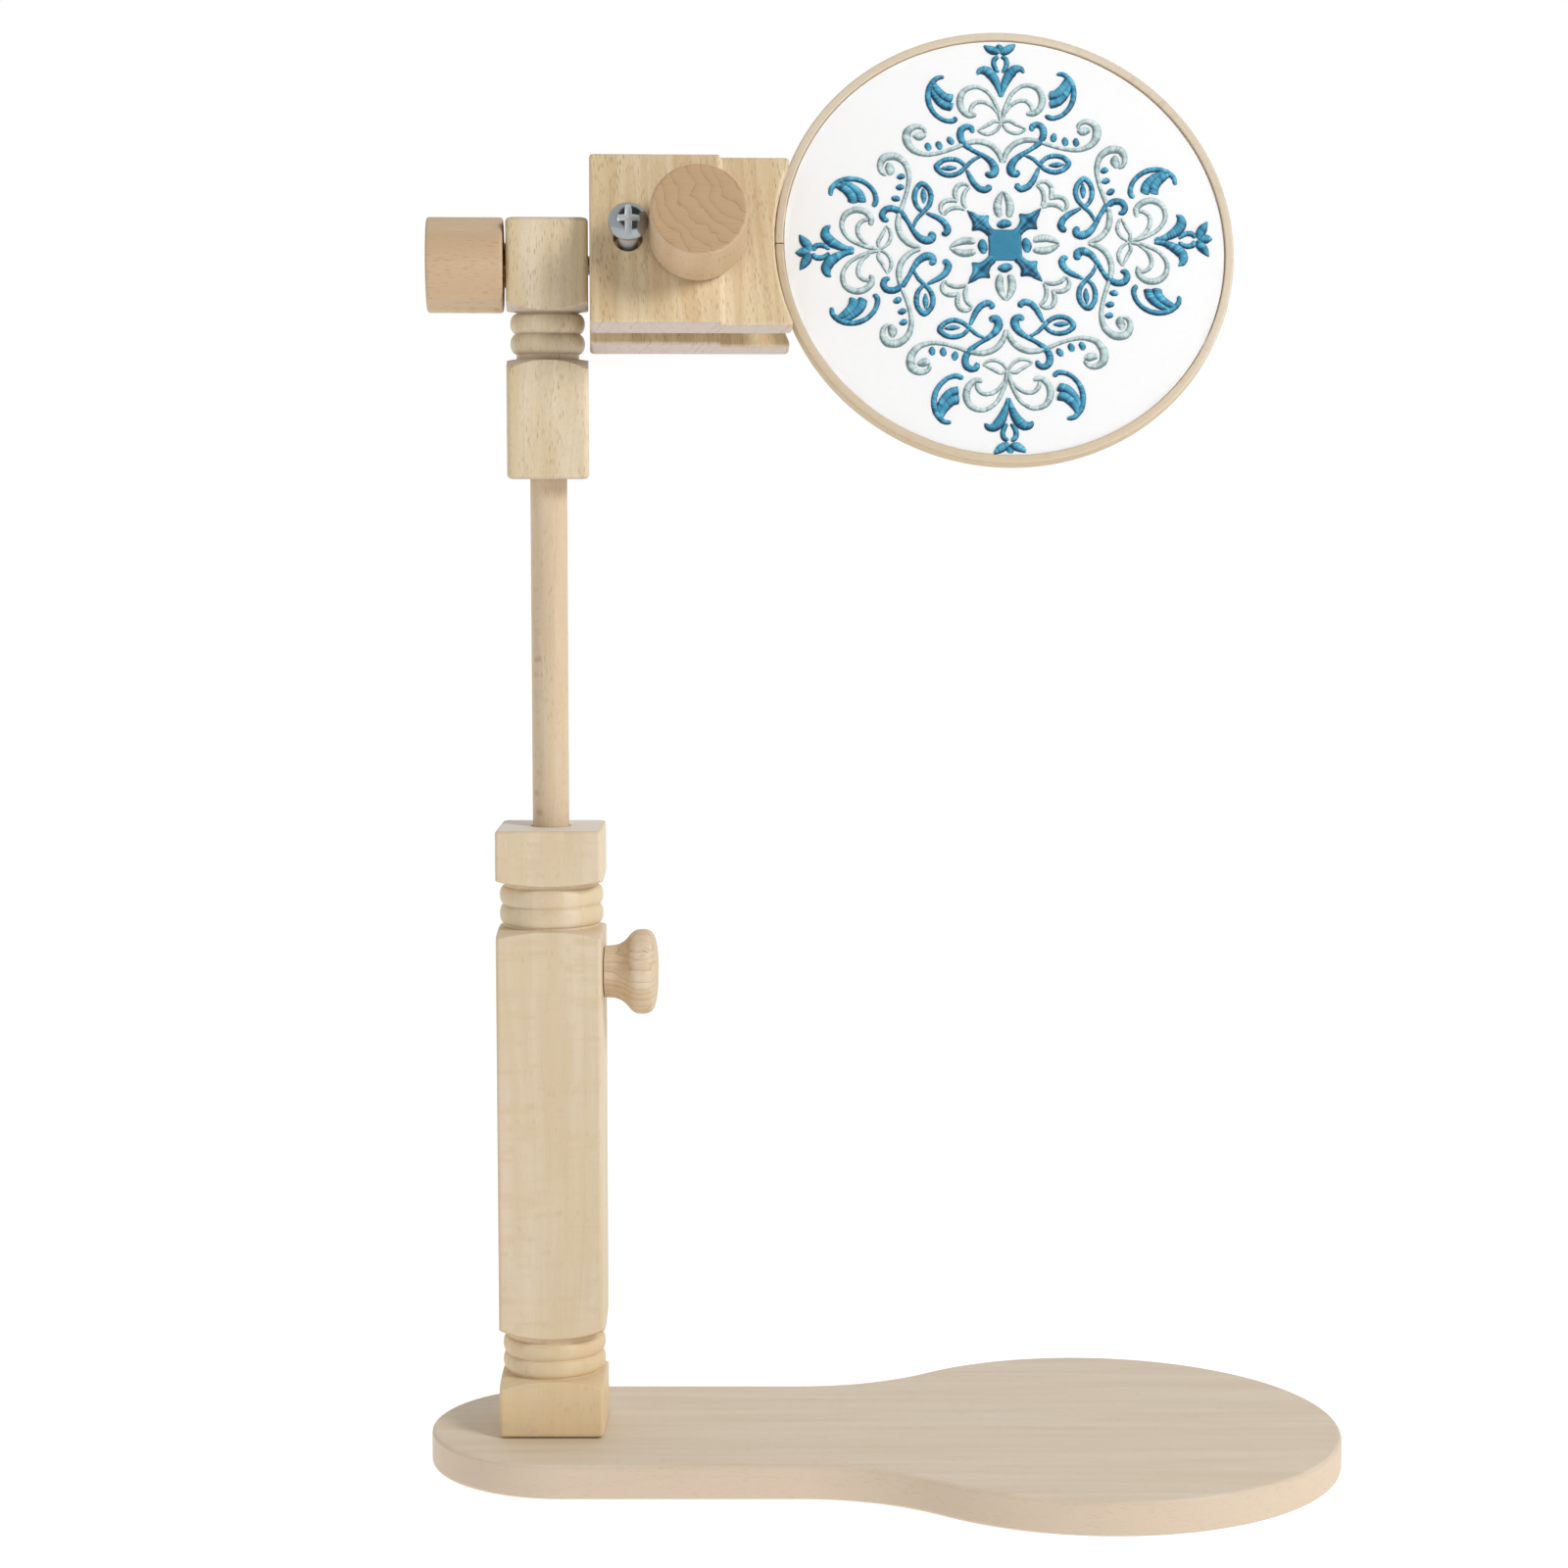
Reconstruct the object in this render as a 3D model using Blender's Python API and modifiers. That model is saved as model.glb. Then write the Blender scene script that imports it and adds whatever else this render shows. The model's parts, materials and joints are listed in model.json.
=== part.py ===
"""Embroidery hoop on a table stand, in beech with steel and brass fittings.

A round-ended base board carries a square turned post. A round mast slides and turns in the
post and is held by a side knob. On the mast sits a short turned head post, and a steel axle
through it carries a pair of wooden jaws that tilt. The jaws grip the screw brackets of a
split wooden hoop, whose inner ring holds the stretched cloth.

Lengths are in millimetres up to the helper functions, which turn them into metres.
World: +X along the board towards its wide end, +Y to the back, +Z up, and the origin under
the middle of the board. The head frame has x along the tilt axle, y to the back of the
jaws and z up the jaws; "n" is the distance in front of the axle, so y = -n.
"""
from math import asin, atan2, cos, degrees, pi, radians, sin, sqrt

import bmesh
import bpy

MM = 0.001
GAP = 0.3                     # running gap between touching pieces

# Base board
BASE_LENGTH = 291.0
BASE_THICK = 11.0
WIDE_R = 79.0                 # round end under the hoop
NARROW_R = 44.0               # round end under the post, and half the narrow width
WAIST_R = 65.0                # hollow curve that joins the two
POST_X = -106.2               # the post's axis along the board

# Lower post
POST_W = 33.0
POST_TOP = 204.6
POST_EDGE_R = 1.2
BORE_BOTTOM = 38.0
BASE_SCREW_Y = 9.0
BASE_SCREW_L = 32.0

# Mast and lock
ROD_R = 5.75
ROD_LENGTH = 238.0
ROD_BOTTOM = 121.0
BORE_R = ROD_R + GAP
LOCK_Z = 158.0
STUD_R = 3.0                  # M6 thread
INSERT_R = 4.2
LOCK_KNOB_X = 17.5            # inner face of the lock knob from the mast's axis

# Head post
HEAD_W = 25.3
HEAD_BOTTOM = 313.4
HEAD_TOP = 393.5

# Head frame
AXLE_Z = 379.4
HEAD_YAW = 3.4                # degrees
HEAD_TILT = 19.2              # degrees, the jaws' faces turned up

# Jaws
JAW_X0 = 13.1
JAW_X1 = 75.7
JAW_H = 55.2
JAW_T = 9.5
JAW_GAP = 8.2
STEP_X = 53.3
STEP_DEPTH = 2.2
HOLLOW_R = 69.7               # hollow end that faces the hoop
GUIDE_X = 24.8
CLAMP_X = 45.8
AXLE_R = 3.7                  # thick end of the axle, inside the back jaw
AXLE_END = 31.0
GUIDE_R = 2.4                 # thread in the back jaw and the axle
GUIDE_SHANK_R = 3.0           # plain shank above it
GUIDE_HOLE_R = 4.5
GUIDE_HEAD_R = 6.1
GUIDE_HEAD_N = 33.9

# Wooden cylinder knobs
KNOB_R = 14.7
TILT_KNOB_L = 23.3
CLAMP_KNOB_L = 20.6
FLANGE_R = 7.0
FLANGE_T = 0.6
SOCKET_DEPTH = 16.0

# Hoop
HOOP_X = 141.9
HOOP_Z = 3.4
RING_OUT_R = 71.6
RING_WALL = 2.7
RING_DEPTH = 5.0
CLOTH_T = 0.5
CLOTH_DROP = 0.8              # cloth face below the outer ring's rim
INNER_WALL = 3.4
INNER_DEPTH = 5.0
SPLIT = 2.0
LUG_T = 2.0
LUG_X0 = 58.6
LUG_W = 9.6
SCREW_X = 63.2
SCREW_R = 2.0                 # M4 thread
RIVET_Z = 10.5

JAW_BACK_N = JAW_T / 2                       # front face of the back jaw
FRONT_N0 = JAW_BACK_N + JAW_GAP              # back face of the front jaw
FRONT_N1 = FRONT_N0 + JAW_T                  # front face of the front jaw
SEAT_N = JAW_BACK_N - STEP_DEPTH             # stepped face of the back jaw
HOOP_N = (SEAT_N + FRONT_N0) / 2             # middle plane of the hoop
RING_IN_R = RING_OUT_R - RING_WALL

BEECH = (0.80, 0.64, 0.44)
BEECH_TAN = (0.70, 0.50, 0.32)
STEEL = (0.75, 0.76, 0.78)
BRASS = (0.78, 0.60, 0.30)
CLOTH = (0.93, 0.93, 0.93)

ALONG_Z = (0.0, 0.0, 0.0)
ALONG_X = (0.0, radians(90), 0.0)            # local z to +x
ALONG_MINUS_X = (0.0, radians(-90), 0.0)     # local z to -x
ALONG_N = (radians(90), 0.0, 0.0)            # local z to -y, out of the jaws' front


# ---------------------------------------------------------------- helpers

def start_scene():
    for obj in list(bpy.data.objects):
        bpy.data.objects.remove(obj, do_unlink=True)
    parts = bpy.data.collections.new("embroidery_hoop_on_stand")
    cutters = bpy.data.collections.new("cutters")
    for coll in (parts, cutters):
        bpy.context.scene.collection.children.link(coll)
    return parts, cutters


PARTS, CUTTERS = start_scene()


def finish_of(name, colour, rough, metal=0.0):
    mat = bpy.data.materials.new(name + "_finish")
    mat.use_nodes = True
    shader = mat.node_tree.nodes["Principled BSDF"]
    shader.inputs["Base Color"].default_value = (*colour, 1.0)
    shader.inputs["Roughness"].default_value = rough
    shader.inputs["Metallic"].default_value = metal
    mat.diffuse_color = (*colour, 1.0)
    return mat


WOOD = (BEECH, 0.55, 0.0)
TAN_WOOD = (BEECH_TAN, 0.5, 0.0)
STEEL_FINISH = (STEEL, 0.22, 1.0)
BRASS_FINISH = (BRASS, 0.3, 1.0)
CLOTH_FINISH = (CLOTH, 0.9, 0.0)


def axis_empty(name, location, rotation=ALONG_Z, parent=None):
    empty = bpy.data.objects.new(name, None)
    empty.location = [v * MM for v in location]
    empty.rotation_euler = rotation
    empty.parent = parent
    PARTS.objects.link(empty)
    return empty


def place(obj, location, rotation, parent, finish):
    """Put an object in its collection; without a finish it is a cutter."""
    obj.location = [v * MM for v in location]
    obj.rotation_euler = rotation
    obj.parent = parent
    if finish is None:
        obj.hide_render = True
        obj.display_type = "WIRE"
        CUTTERS.objects.link(obj)
    else:
        obj.data.materials.clear()
        obj.data.materials.append(finish_of(obj.name, *finish))
        PARTS.objects.link(obj)
    return obj


def turned(name, profile, steps, location=(0, 0, 0), rotation=ALONG_Z, parent=None, finish=None,
           ring=False):
    """Turn a profile of (radius, z) about z. It runs from the top down its outer side."""
    bm = bmesh.new()
    verts = [bm.verts.new((r * MM, 0.0, z * MM)) for r, z in profile]
    for a, b in zip(verts, verts[1:]):
        bm.edges.new((a, b))
    if ring:
        bm.edges.new((verts[-1], verts[0]))
    mesh = bpy.data.meshes.new(name)
    bm.to_mesh(mesh)
    bm.free()
    obj = bpy.data.objects.new(name, mesh)
    screw = obj.modifiers.new("turn", "SCREW")
    screw.steps = steps
    screw.render_steps = steps
    screw.use_merge_vertices = True
    screw.merge_threshold = 0.00001
    screw.use_smooth_shade = True
    return place(obj, location, rotation, parent, finish)


def rod(name, radius, z0, z1, steps=24, chamfer=0.0, **where):
    """A round bar from z0 up to z1, its ends chamfered."""
    c = chamfer
    profile = [(0, z1), (radius - c, z1), (radius, z1 - c), (radius, z0 + c), (radius - c, z0), (0, z0)]
    if c == 0.0:
        profile = [(0, z1), (radius, z1), (radius, z0), (0, z0)]
    return turned(name, profile, steps, **where)


def tube(name, r_in, r_out, z0, z1, steps=24, chamfer=0.0, **where):
    """A round tube, with its outer corners chamfered."""
    c = chamfer
    outer = [(r_out - c, z1), (r_out, z1 - c), (r_out, z0 + c), (r_out - c, z0)]
    if c == 0.0:
        outer = [(r_out, z1), (r_out, z0)]
    return turned(name, outer + [(r_in, z0), (r_in, z1)], steps, ring=True, **where)


def box(name, low, high, bevel=0.0, location=(0, 0, 0), rotation=ALONG_Z, parent=None, finish=None):
    bm = bmesh.new()
    bmesh.ops.create_cube(bm, size=1.0)
    size = [(b - a) * MM for a, b in zip(low, high)]
    centre = [(a + b) / 2 * MM for a, b in zip(low, high)]
    bmesh.ops.scale(bm, vec=size, verts=bm.verts)
    bmesh.ops.translate(bm, vec=centre, verts=bm.verts)
    mesh = bpy.data.meshes.new(name)
    bm.to_mesh(mesh)
    bm.free()
    obj = bpy.data.objects.new(name, mesh)
    if bevel:
        soften(obj, bevel)
    return place(obj, location, rotation, parent, finish)


def soften(obj, width, segments=2):
    """Round the edges that are sharper than 40 degrees."""
    bev = obj.modifiers.new("soft_edges", "BEVEL")
    bev.width = width * MM
    bev.segments = segments
    bev.limit_method = "ANGLE"
    bev.angle_limit = radians(40)


def plate(name, outline, thick, bevel, location=(0, 0, 0), rotation=ALONG_Z, parent=None, finish=None):
    """A flat outline given thickness, from z = 0 up, with its edges rounded."""
    curve = bpy.data.curves.new(name + "_outline", "CURVE")
    curve.dimensions = "2D"
    curve.fill_mode = "BOTH"
    curve.extrude = thick / 2 * MM
    spline = curve.splines.new("POLY")
    spline.points.add(len(outline) - 1)
    for point, (x, y) in zip(spline.points, outline):
        point.co = (x * MM, y * MM, 0.0, 1.0)
    spline.use_cyclic_u = True
    drawn = bpy.data.objects.new(name + "_drawn", curve)
    PARTS.objects.link(drawn)
    bpy.context.view_layer.update()
    solid = drawn.evaluated_get(bpy.context.evaluated_depsgraph_get())
    mesh = bpy.data.meshes.new_from_object(solid)
    bm = bmesh.new()
    bm.from_mesh(mesh)
    bmesh.ops.remove_doubles(bm, verts=bm.verts, dist=0.000001)
    bmesh.ops.translate(bm, vec=(0, 0, thick / 2 * MM), verts=bm.verts)
    bmesh.ops.recalc_face_normals(bm, faces=bm.faces)
    bm.to_mesh(mesh)
    bm.free()
    bpy.data.objects.remove(drawn, do_unlink=True)
    obj = bpy.data.objects.new(name, mesh)
    if bevel:
        soften(obj, bevel)
    return place(obj, location, rotation, parent, finish)


def combine(obj, other, operation="DIFFERENCE"):
    mod = obj.modifiers.new(operation.lower() + "_" + other.name, "BOOLEAN")
    mod.object = other
    mod.operation = operation
    mod.solver = "EXACT"
    return obj


def arc(cx, cy, r, a0, a1, count):
    """Points along an arc from angle a0 to a1, in degrees, both ends included."""
    angles = [radians(a0 + (a1 - a0) * i / count) for i in range(count + 1)]
    return [(cx + r * cos(a), cy + r * sin(a)) for a in angles]


def bead(z_top, z_bottom, r_waist, r_bead, count=5):
    """A half-round bead of a turned profile, from its top waist to just above its bottom one."""
    mid = (z_top + z_bottom) / 2
    half = (z_top - z_bottom) / 2
    return [(r_waist + (r_bead - r_waist) * sin(pi * i / count) ** 0.8, mid + half * cos(pi * i / count))
            for i in range(count)]


def shoulder(z_face, half_width, down, neck_r, depth):
    """Turned corner of a square block: from its neck, over the face's middle, out past its corners.

    z_face is the height where the cut meets the middle of a flat face, and down is -1 when
    the block lies below the cut. depth is how much lower the corners are than that."""
    corner = half_width * sqrt(2)
    steps = [(neck_r, -0.12), (half_width, 0.0), ((half_width + corner) / 2, 0.40), (corner, 1.0),
             (corner + 3, 1.6)]
    points = [(r, z_face + down * depth * k) for r, k in steps]
    return points if down < 0 else points[::-1]


# ---------------------------------------------------------------- base board

def board_outline():
    """The wide round end, its hollow shoulders and the narrow round end."""
    wide_x = BASE_LENGTH / 2 - WIDE_R
    narrow_x = -BASE_LENGTH / 2 + NARROW_R
    rise = NARROW_R + WAIST_R
    reach = sqrt((WIDE_R + WAIST_R) ** 2 - rise ** 2)
    waist_x = wide_x - reach
    meet = degrees(atan2(rise, -reach))
    turn = degrees(atan2(-rise, reach))
    points = arc(wide_x, 0, WIDE_R, -meet, meet, 40)
    points += arc(waist_x, rise, WAIST_R, turn, -90, 6)[1:]
    points += arc(narrow_x, 0, NARROW_R, 90, 270, 20)
    points += arc(waist_x, -rise, WAIST_R, 90, -turn, 6)[:-1]
    return points


def make_base():
    board = plate("base_board", board_outline(), BASE_THICK, 1.5, finish=WOOD)
    head_r = 4.5
    shank_r = 2.1
    seat = 0.6                               # the heads lie this far inside the underside
    cone = head_r - shank_r
    for side, name in ((-1, "front"), (1, "back")):
        where = dict(location=(POST_X, side * BASE_SCREW_Y, 0))
        hole = [(0, BASE_THICK + 1), (shank_r + GAP, BASE_THICK + 1),
                (shank_r + GAP, seat + cone + 0.6), (head_r + GAP, seat + 0.3),
                (head_r + GAP, -1), (0, -1)]
        combine(board, turned(f"base_hole_{name}", hole, 20, **where))
        top = seat + BASE_SCREW_L
        screw = [(0, top), (shank_r, top - 4), (shank_r, seat + cone + 0.4), (head_r, seat + 0.4),
                 (head_r, seat), (0, seat)]
        turned(f"base_screw_{name}", screw, 20, finish=BRASS_FINISH, **where)


# ---------------------------------------------------------------- lower post

def lower_post_profile():
    """The lathe's path down the post, wider than the square bar where nothing is turned away."""
    half = POST_W / 2
    free = half * sqrt(2) + 3
    neck = 15.2
    full = 16.4
    points = [(0, POST_TOP + 2), (free, POST_TOP + 2)]
    points += shoulder(187.1, half, 1, neck, 2.1)
    points += bead(185.7, 179.9, neck, full) + bead(179.9, 173.8, neck, full)
    points += [(neck, 173.8)] + shoulder(172.8, half, -1, neck, 2.4)
    points += shoulder(43.2, half, 1, neck, 3.0)
    points += bead(41.2, 35.7, neck, full) + bead(35.7, 30.3, neck, full)
    points += [(neck, 30.3)] + shoulder(29.4, half, -1, neck, 2.7)
    points += [(free, BASE_THICK - 2), (0, BASE_THICK - 2)]
    return points


def make_lower_post():
    half = POST_W / 2
    at_post = (POST_X, 0, 0)
    post = box("lower_post", (-half, -half, BASE_THICK + GAP), (half, half, POST_TOP), POST_EDGE_R,
               location=at_post, finish=WOOD)
    combine(post, turned("post_lathe", lower_post_profile(), 28, location=at_post), "INTERSECT")
    combine(post, rod("post_bore", BORE_R, BORE_BOTTOM, POST_TOP + 5, 24, location=at_post))
    for side in (-1, 1):
        combine(post, rod(f"pilot_{side}", 2.1 + GAP, 0, 0.6 + BASE_SCREW_L + 1, 20,
                          location=(POST_X, side * BASE_SCREW_Y, 0)))
    at_lock = dict(location=(POST_X, 0, LOCK_Z), rotation=ALONG_X)
    combine(post, rod("lock_hole", INSERT_R + GAP, 3.0, half + 3, 24, **at_lock))


# ---------------------------------------------------------------- lock

def make_lock():
    half = POST_W / 2
    at_lock = dict(parent=axis_empty("lock_axis", (POST_X, 0, LOCK_Z), ALONG_X))
    tube("lock_insert", STUD_R + GAP, INSERT_R, 7.0, half - 0.4, 24, finish=BRASS_FINISH, **at_lock)
    rod("lock_stud", STUD_R, ROD_R + GAP, LOCK_KNOB_X + 9.0, 24, 0.4, finish=STEEL_FINISH, **at_lock)
    # mushroom: slim neck at the post, hollow flare, round rim and a low dome
    flare = [(16.3, 0.0), (16.1, 5.0), (15.7, 8.6), (15.0, 11.2), (14.1, 12.7), (12.7, 13.4),
             (10.9, 13.45), (9.1, 13.2), (7.7, 12.3), (6.4, 10.8), (5.0, 9.5), (3.0, 8.6),
             (0.0, 8.2), (0.0, 0.0)]
    profile = [(r, LOCK_KNOB_X + x) for x, r in flare]
    knob = turned("lock_knob", profile, 30, finish=TAN_WOOD, **at_lock)
    combine(knob, rod("lock_socket", STUD_R + GAP, LOCK_KNOB_X - 2, LOCK_KNOB_X + 9.6, 24, **at_lock))


# ---------------------------------------------------------------- mast and head post

def head_post_profile():
    half = HEAD_W / 2
    free = half * sqrt(2) + 3
    neck = 10.0
    full = 11.6
    points = [(0, HEAD_TOP + 2), (free, HEAD_TOP + 2)]
    points += shoulder(365.2, half, 1, neck, 3.0)
    points += bead(364.4, 358.2, neck, full) + bead(358.2, 352.0, neck, full)
    points += [(neck, 352.0)]
    points += shoulder(350.1, half, -1, neck, 3.3)
    points += [(free, HEAD_BOTTOM - 2), (0, HEAD_BOTTOM - 2)]
    return points


def make_mast(head_axis):
    at_mast = axis_empty("mast_axis", (POST_X, 0, 0))
    rod("mast_rod", ROD_R, ROD_BOTTOM, ROD_BOTTOM + ROD_LENGTH, 24, 0.8, parent=at_mast, finish=TAN_WOOD)
    half = HEAD_W / 2
    swivel = axis_empty("swivel_axis", (0, 0, 0), (0, 0, radians(HEAD_YAW)), at_mast)
    post = box("upper_post", (-half, -half, HEAD_BOTTOM), (half, half, HEAD_TOP), 1.5,
               parent=swivel, finish=WOOD)
    combine(post, turned("head_lathe", head_post_profile(), 28, parent=swivel), "INTERSECT")
    socket_top = ROD_BOTTOM + ROD_LENGTH + GAP
    combine(post, rod("mast_socket", BORE_R, HEAD_BOTTOM - 3, socket_top, 24, parent=swivel))
    combine(post, rod("axle_hole", STUD_R + GAP, -half - 3, half + 3, 24, rotation=ALONG_X,
                      parent=head_axis))


# ---------------------------------------------------------------- jaws

def jaw_outline():
    """A plate whose far end is hollowed to the hoop's curve."""
    half = JAW_H / 2
    spread = degrees(asin(half / HOLLOW_R))
    hollow_x = JAW_X1 + HOLLOW_R * cos(radians(spread))
    hollow = arc(hollow_x, 0, HOLLOW_R, 180 + spread, 180 - spread, 16)
    return [(JAW_X0, -half)] + hollow + [(JAW_X0, half)]


def make_jaw(name, back_n, parent):
    """A jaw whose back face is back_n in front of the axle. Its front is stepped at the far end."""
    jaw = plate(name, jaw_outline(), JAW_T, 0.0, location=(0, -back_n, 0), rotation=ALONG_N,
                parent=parent, finish=WOOD)
    front_n = back_n + JAW_T
    step = box(name + "_step", (STEP_X, -front_n - 4, -JAW_H), (JAW_X1 + 9, -front_n + STEP_DEPTH, JAW_H),
               parent=parent)
    combine(jaw, step)
    soften(jaw, 0.9)
    return jaw


def make_jaws(head_axis):
    back = make_jaw("back_jaw", -JAW_T / 2, head_axis)
    front = make_jaw("front_jaw", FRONT_N0, head_axis)
    combine(back, rod("back_axle_hole", AXLE_R + GAP, JAW_X0 - 3, AXLE_END + 0.6, 24,
                      rotation=ALONG_X, parent=head_axis))
    at_guide = dict(location=(GUIDE_X, 0, 0), rotation=ALONG_N, parent=head_axis)
    at_clamp = dict(location=(CLAMP_X, 0, 0), rotation=ALONG_N, parent=head_axis)
    combine(back, rod("back_guide_hole", GUIDE_R + GAP, 0.5, JAW_BACK_N + 3, 24, **at_guide))
    combine(back, rod("back_clamp_hole", STUD_R + 0.6 + GAP, -JAW_T / 2 + 1, JAW_BACK_N + 3, 24, **at_clamp))
    combine(front, rod("front_guide_hole", GUIDE_HOLE_R, FRONT_N0 - 3, FRONT_N1 + 3, 28, **at_guide))
    combine(front, rod("front_clamp_hole", STUD_R + 0.7, FRONT_N0 - 3, FRONT_N1 + 3, 24, **at_clamp))


def make_axle(head_axis):
    """The tilt axle: a stud with a thicker end that the guide screw crosses."""
    thick = AXLE_R
    outer = -(HEAD_W / 2 + FLANGE_T + SOCKET_DEPTH - 1)
    profile = [(0, AXLE_END), (thick - 0.5, AXLE_END), (thick, AXLE_END - 0.5), (thick, JAW_X0 + 0.6),
               (STUD_R, JAW_X0 + 0.1), (STUD_R, outer + 0.5), (STUD_R - 0.5, outer), (0, outer)]
    axle = turned("tilt_axle", profile, 24, rotation=ALONG_X, parent=head_axis, finish=STEEL_FINISH)
    combine(axle, rod("axle_cross_hole", GUIDE_R + GAP, -8, 8, 24, location=(GUIDE_X, 0, 0),
                      rotation=ALONG_N, parent=head_axis))


def make_guide_screw(head_axis):
    """A long screw with a domed, slotted cross head that stands clear of the front jaw."""
    n0 = GUIDE_HEAD_N
    dome = [(0, n0 + 3.6), (2.6, n0 + 3.4), (4.6, n0 + 2.6), (5.7, n0 + 1.6), (GUIDE_HEAD_R, n0 + 0.6),
            (GUIDE_HEAD_R, n0)]
    shank_end = JAW_BACK_N + 1.5
    profile = dome + [(GUIDE_SHANK_R, n0), (GUIDE_SHANK_R, shank_end), (GUIDE_R, shank_end),
                      (GUIDE_R, -2.6), (GUIDE_R - 0.4, -3.0), (0, -3.0)]
    at_guide = dict(location=(GUIDE_X, 0, 0), rotation=ALONG_N, parent=head_axis)
    screw = turned("guide_screw", profile, 24, finish=STEEL_FINISH, **at_guide)
    combine(screw, box("head_slot", (-0.65, -9, n0 + 2.2), (0.65, 9, n0 + 9), **at_guide))
    combine(screw, box("head_cross", (-2.6, -0.6, n0 + 1.5), (2.6, 0.6, n0 + 9), **at_guide))


def make_clamp_stud(head_axis):
    profile_end = FRONT_N1 + GAP + FLANGE_T + SOCKET_DEPTH - 2
    n0 = -JAW_T / 2 + 1.4
    thick = STUD_R + 0.6
    profile = [(0, profile_end), (STUD_R - 0.5, profile_end), (STUD_R, profile_end - 0.5),
               (STUD_R, JAW_BACK_N), (thick, JAW_BACK_N - 0.4), (thick, n0), (0, n0)]
    turned("clamp_stud", profile, 24, location=(CLAMP_X, 0, 0), rotation=ALONG_N, parent=head_axis,
           finish=STEEL_FINISH)


def make_knob(name, length, face, location, rotation, parent):
    """A plain wooden cylinder with a flanged brass insert; face is where the flange bears."""
    where = dict(location=location, rotation=rotation, parent=parent)
    inner = face + GAP + FLANGE_T
    insert = [(FLANGE_R, inner), (FLANGE_R, face + GAP), (STUD_R + GAP, face + GAP),
              (STUD_R + GAP, inner + SOCKET_DEPTH - 3), (INSERT_R, inner + SOCKET_DEPTH - 3),
              (INSERT_R, inner)]
    turned(name + "_insert", insert, 28, ring=True, finish=BRASS_FINISH, **where)
    start = inner + GAP
    end = start + length
    edge = 1.0
    socket = INSERT_R + GAP
    profile = [(0, end), (KNOB_R - edge, end), (KNOB_R - edge * 0.3, end - edge * 0.3),
               (KNOB_R, end - edge), (KNOB_R, start + edge), (KNOB_R - edge * 0.3, start + edge * 0.3),
               (KNOB_R - edge, start), (socket, start), (socket, start + SOCKET_DEPTH),
               (0, start + SOCKET_DEPTH)]
    turned(name, profile, 36, finish=TAN_WOOD, **where)


# ---------------------------------------------------------------- hoop

def make_hoop(head_axis):
    """The split outer ring with its brackets and screw, and the inner ring with the cloth."""
    hoop = axis_empty("hoop_axis", (HOOP_X, -HOOP_N, HOOP_Z), ALONG_Z, head_axis)
    facing = dict(rotation=ALONG_N, parent=hoop)
    half = RING_DEPTH / 2
    outer = tube("hoop_outer_ring", RING_IN_R, RING_OUT_R, -half, half, 72, 0.5, finish=WOOD, **facing)
    combine(outer, box("ring_split", (-RING_OUT_R - 9, -9, -SPLIT / 2), (-RING_IN_R + 9, 9, SPLIT / 2),
                       parent=hoop))
    cloth_face = half - CLOTH_DROP
    cloth_r = RING_IN_R - GAP
    inner_r = cloth_r - CLOTH_T - GAP
    inner_top = cloth_face - CLOTH_T - GAP
    tube("hoop_inner_ring", inner_r - INNER_WALL, inner_r, inner_top - INNER_DEPTH, inner_top, 72, 0.4,
         finish=WOOD, **facing)
    hem = inner_top - INNER_DEPTH + 0.4
    cup = [(0, cloth_face), (cloth_r - 0.4, cloth_face), (cloth_r, cloth_face - 0.4), (cloth_r, hem),
           (cloth_r - CLOTH_T, hem), (cloth_r - CLOTH_T, cloth_face - CLOTH_T), (0, cloth_face - CLOTH_T)]
    turned("hoop_fabric", cup, 72, finish=CLOTH_FINISH, **facing)
    make_brackets(hoop, outer)
    make_tension_screw(hoop)


def make_brackets(hoop, outer):
    """Two brass angles riveted to the ring's ends, each a curved foot with a lug."""
    foot_in = RING_OUT_R + GAP
    foot_out = foot_in + 1.2
    lug_end = SPLIT / 2 + LUG_T
    lug_x0 = LUG_X0 - HOOP_X
    half_w = LUG_W / 2
    for side, name in ((1, "upper"), (-1, "lower")):
        low, high = sorted((side * (SPLIT / 2 + 0.3), side * lug_end))
        lug_x1 = -sqrt(foot_in ** 2 - lug_end ** 2) - 0.1
        bracket = box(f"hoop_bracket_{name}", (lug_x0, -half_w, low), (lug_x1, half_w, high),
                      parent=hoop, finish=BRASS_FINISH)
        foot = tube(f"foot_{name}", foot_in, foot_out, -RING_DEPTH / 2, RING_DEPTH / 2, 72,
                    rotation=ALONG_N, parent=hoop)
        low_z, high_z = sorted((side * (SPLIT / 2 + 0.35), side * 15.0))
        keep = box(f"foot_length_{name}", (-90, -9, low_z), (-40, 9, high_z), parent=hoop)
        combine(foot, keep, "INTERSECT")
        combine(bracket, foot, "UNION")
        combine(bracket, rod(f"lug_hole_{name}", SCREW_R + GAP, -30, 30, 20,
                             location=(SCREW_X - HOOP_X, 0, 0), parent=hoop))
        tilt = asin(RIVET_Z / RING_OUT_R) * side
        outward = (0.0, radians(-90) + tilt, 0.0)
        hole = rod(f"rivet_hole_{name}", 1.3, RING_IN_R - 3, foot_out + 3, 16, rotation=outward, parent=hoop)
        combine(bracket, hole)
        combine(outer, hole)
        profile = [(0, foot_out + 1.3), (1.2, foot_out + 1.1), (1.9, foot_out + 0.3),
                   (1.0, foot_out + 0.3), (1.0, RING_IN_R + 0.1), (0, RING_IN_R + 0.1)]
        turned(f"bracket_rivet_{name}", profile, 16, rotation=outward, parent=hoop, finish=BRASS_FINISH)


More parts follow.
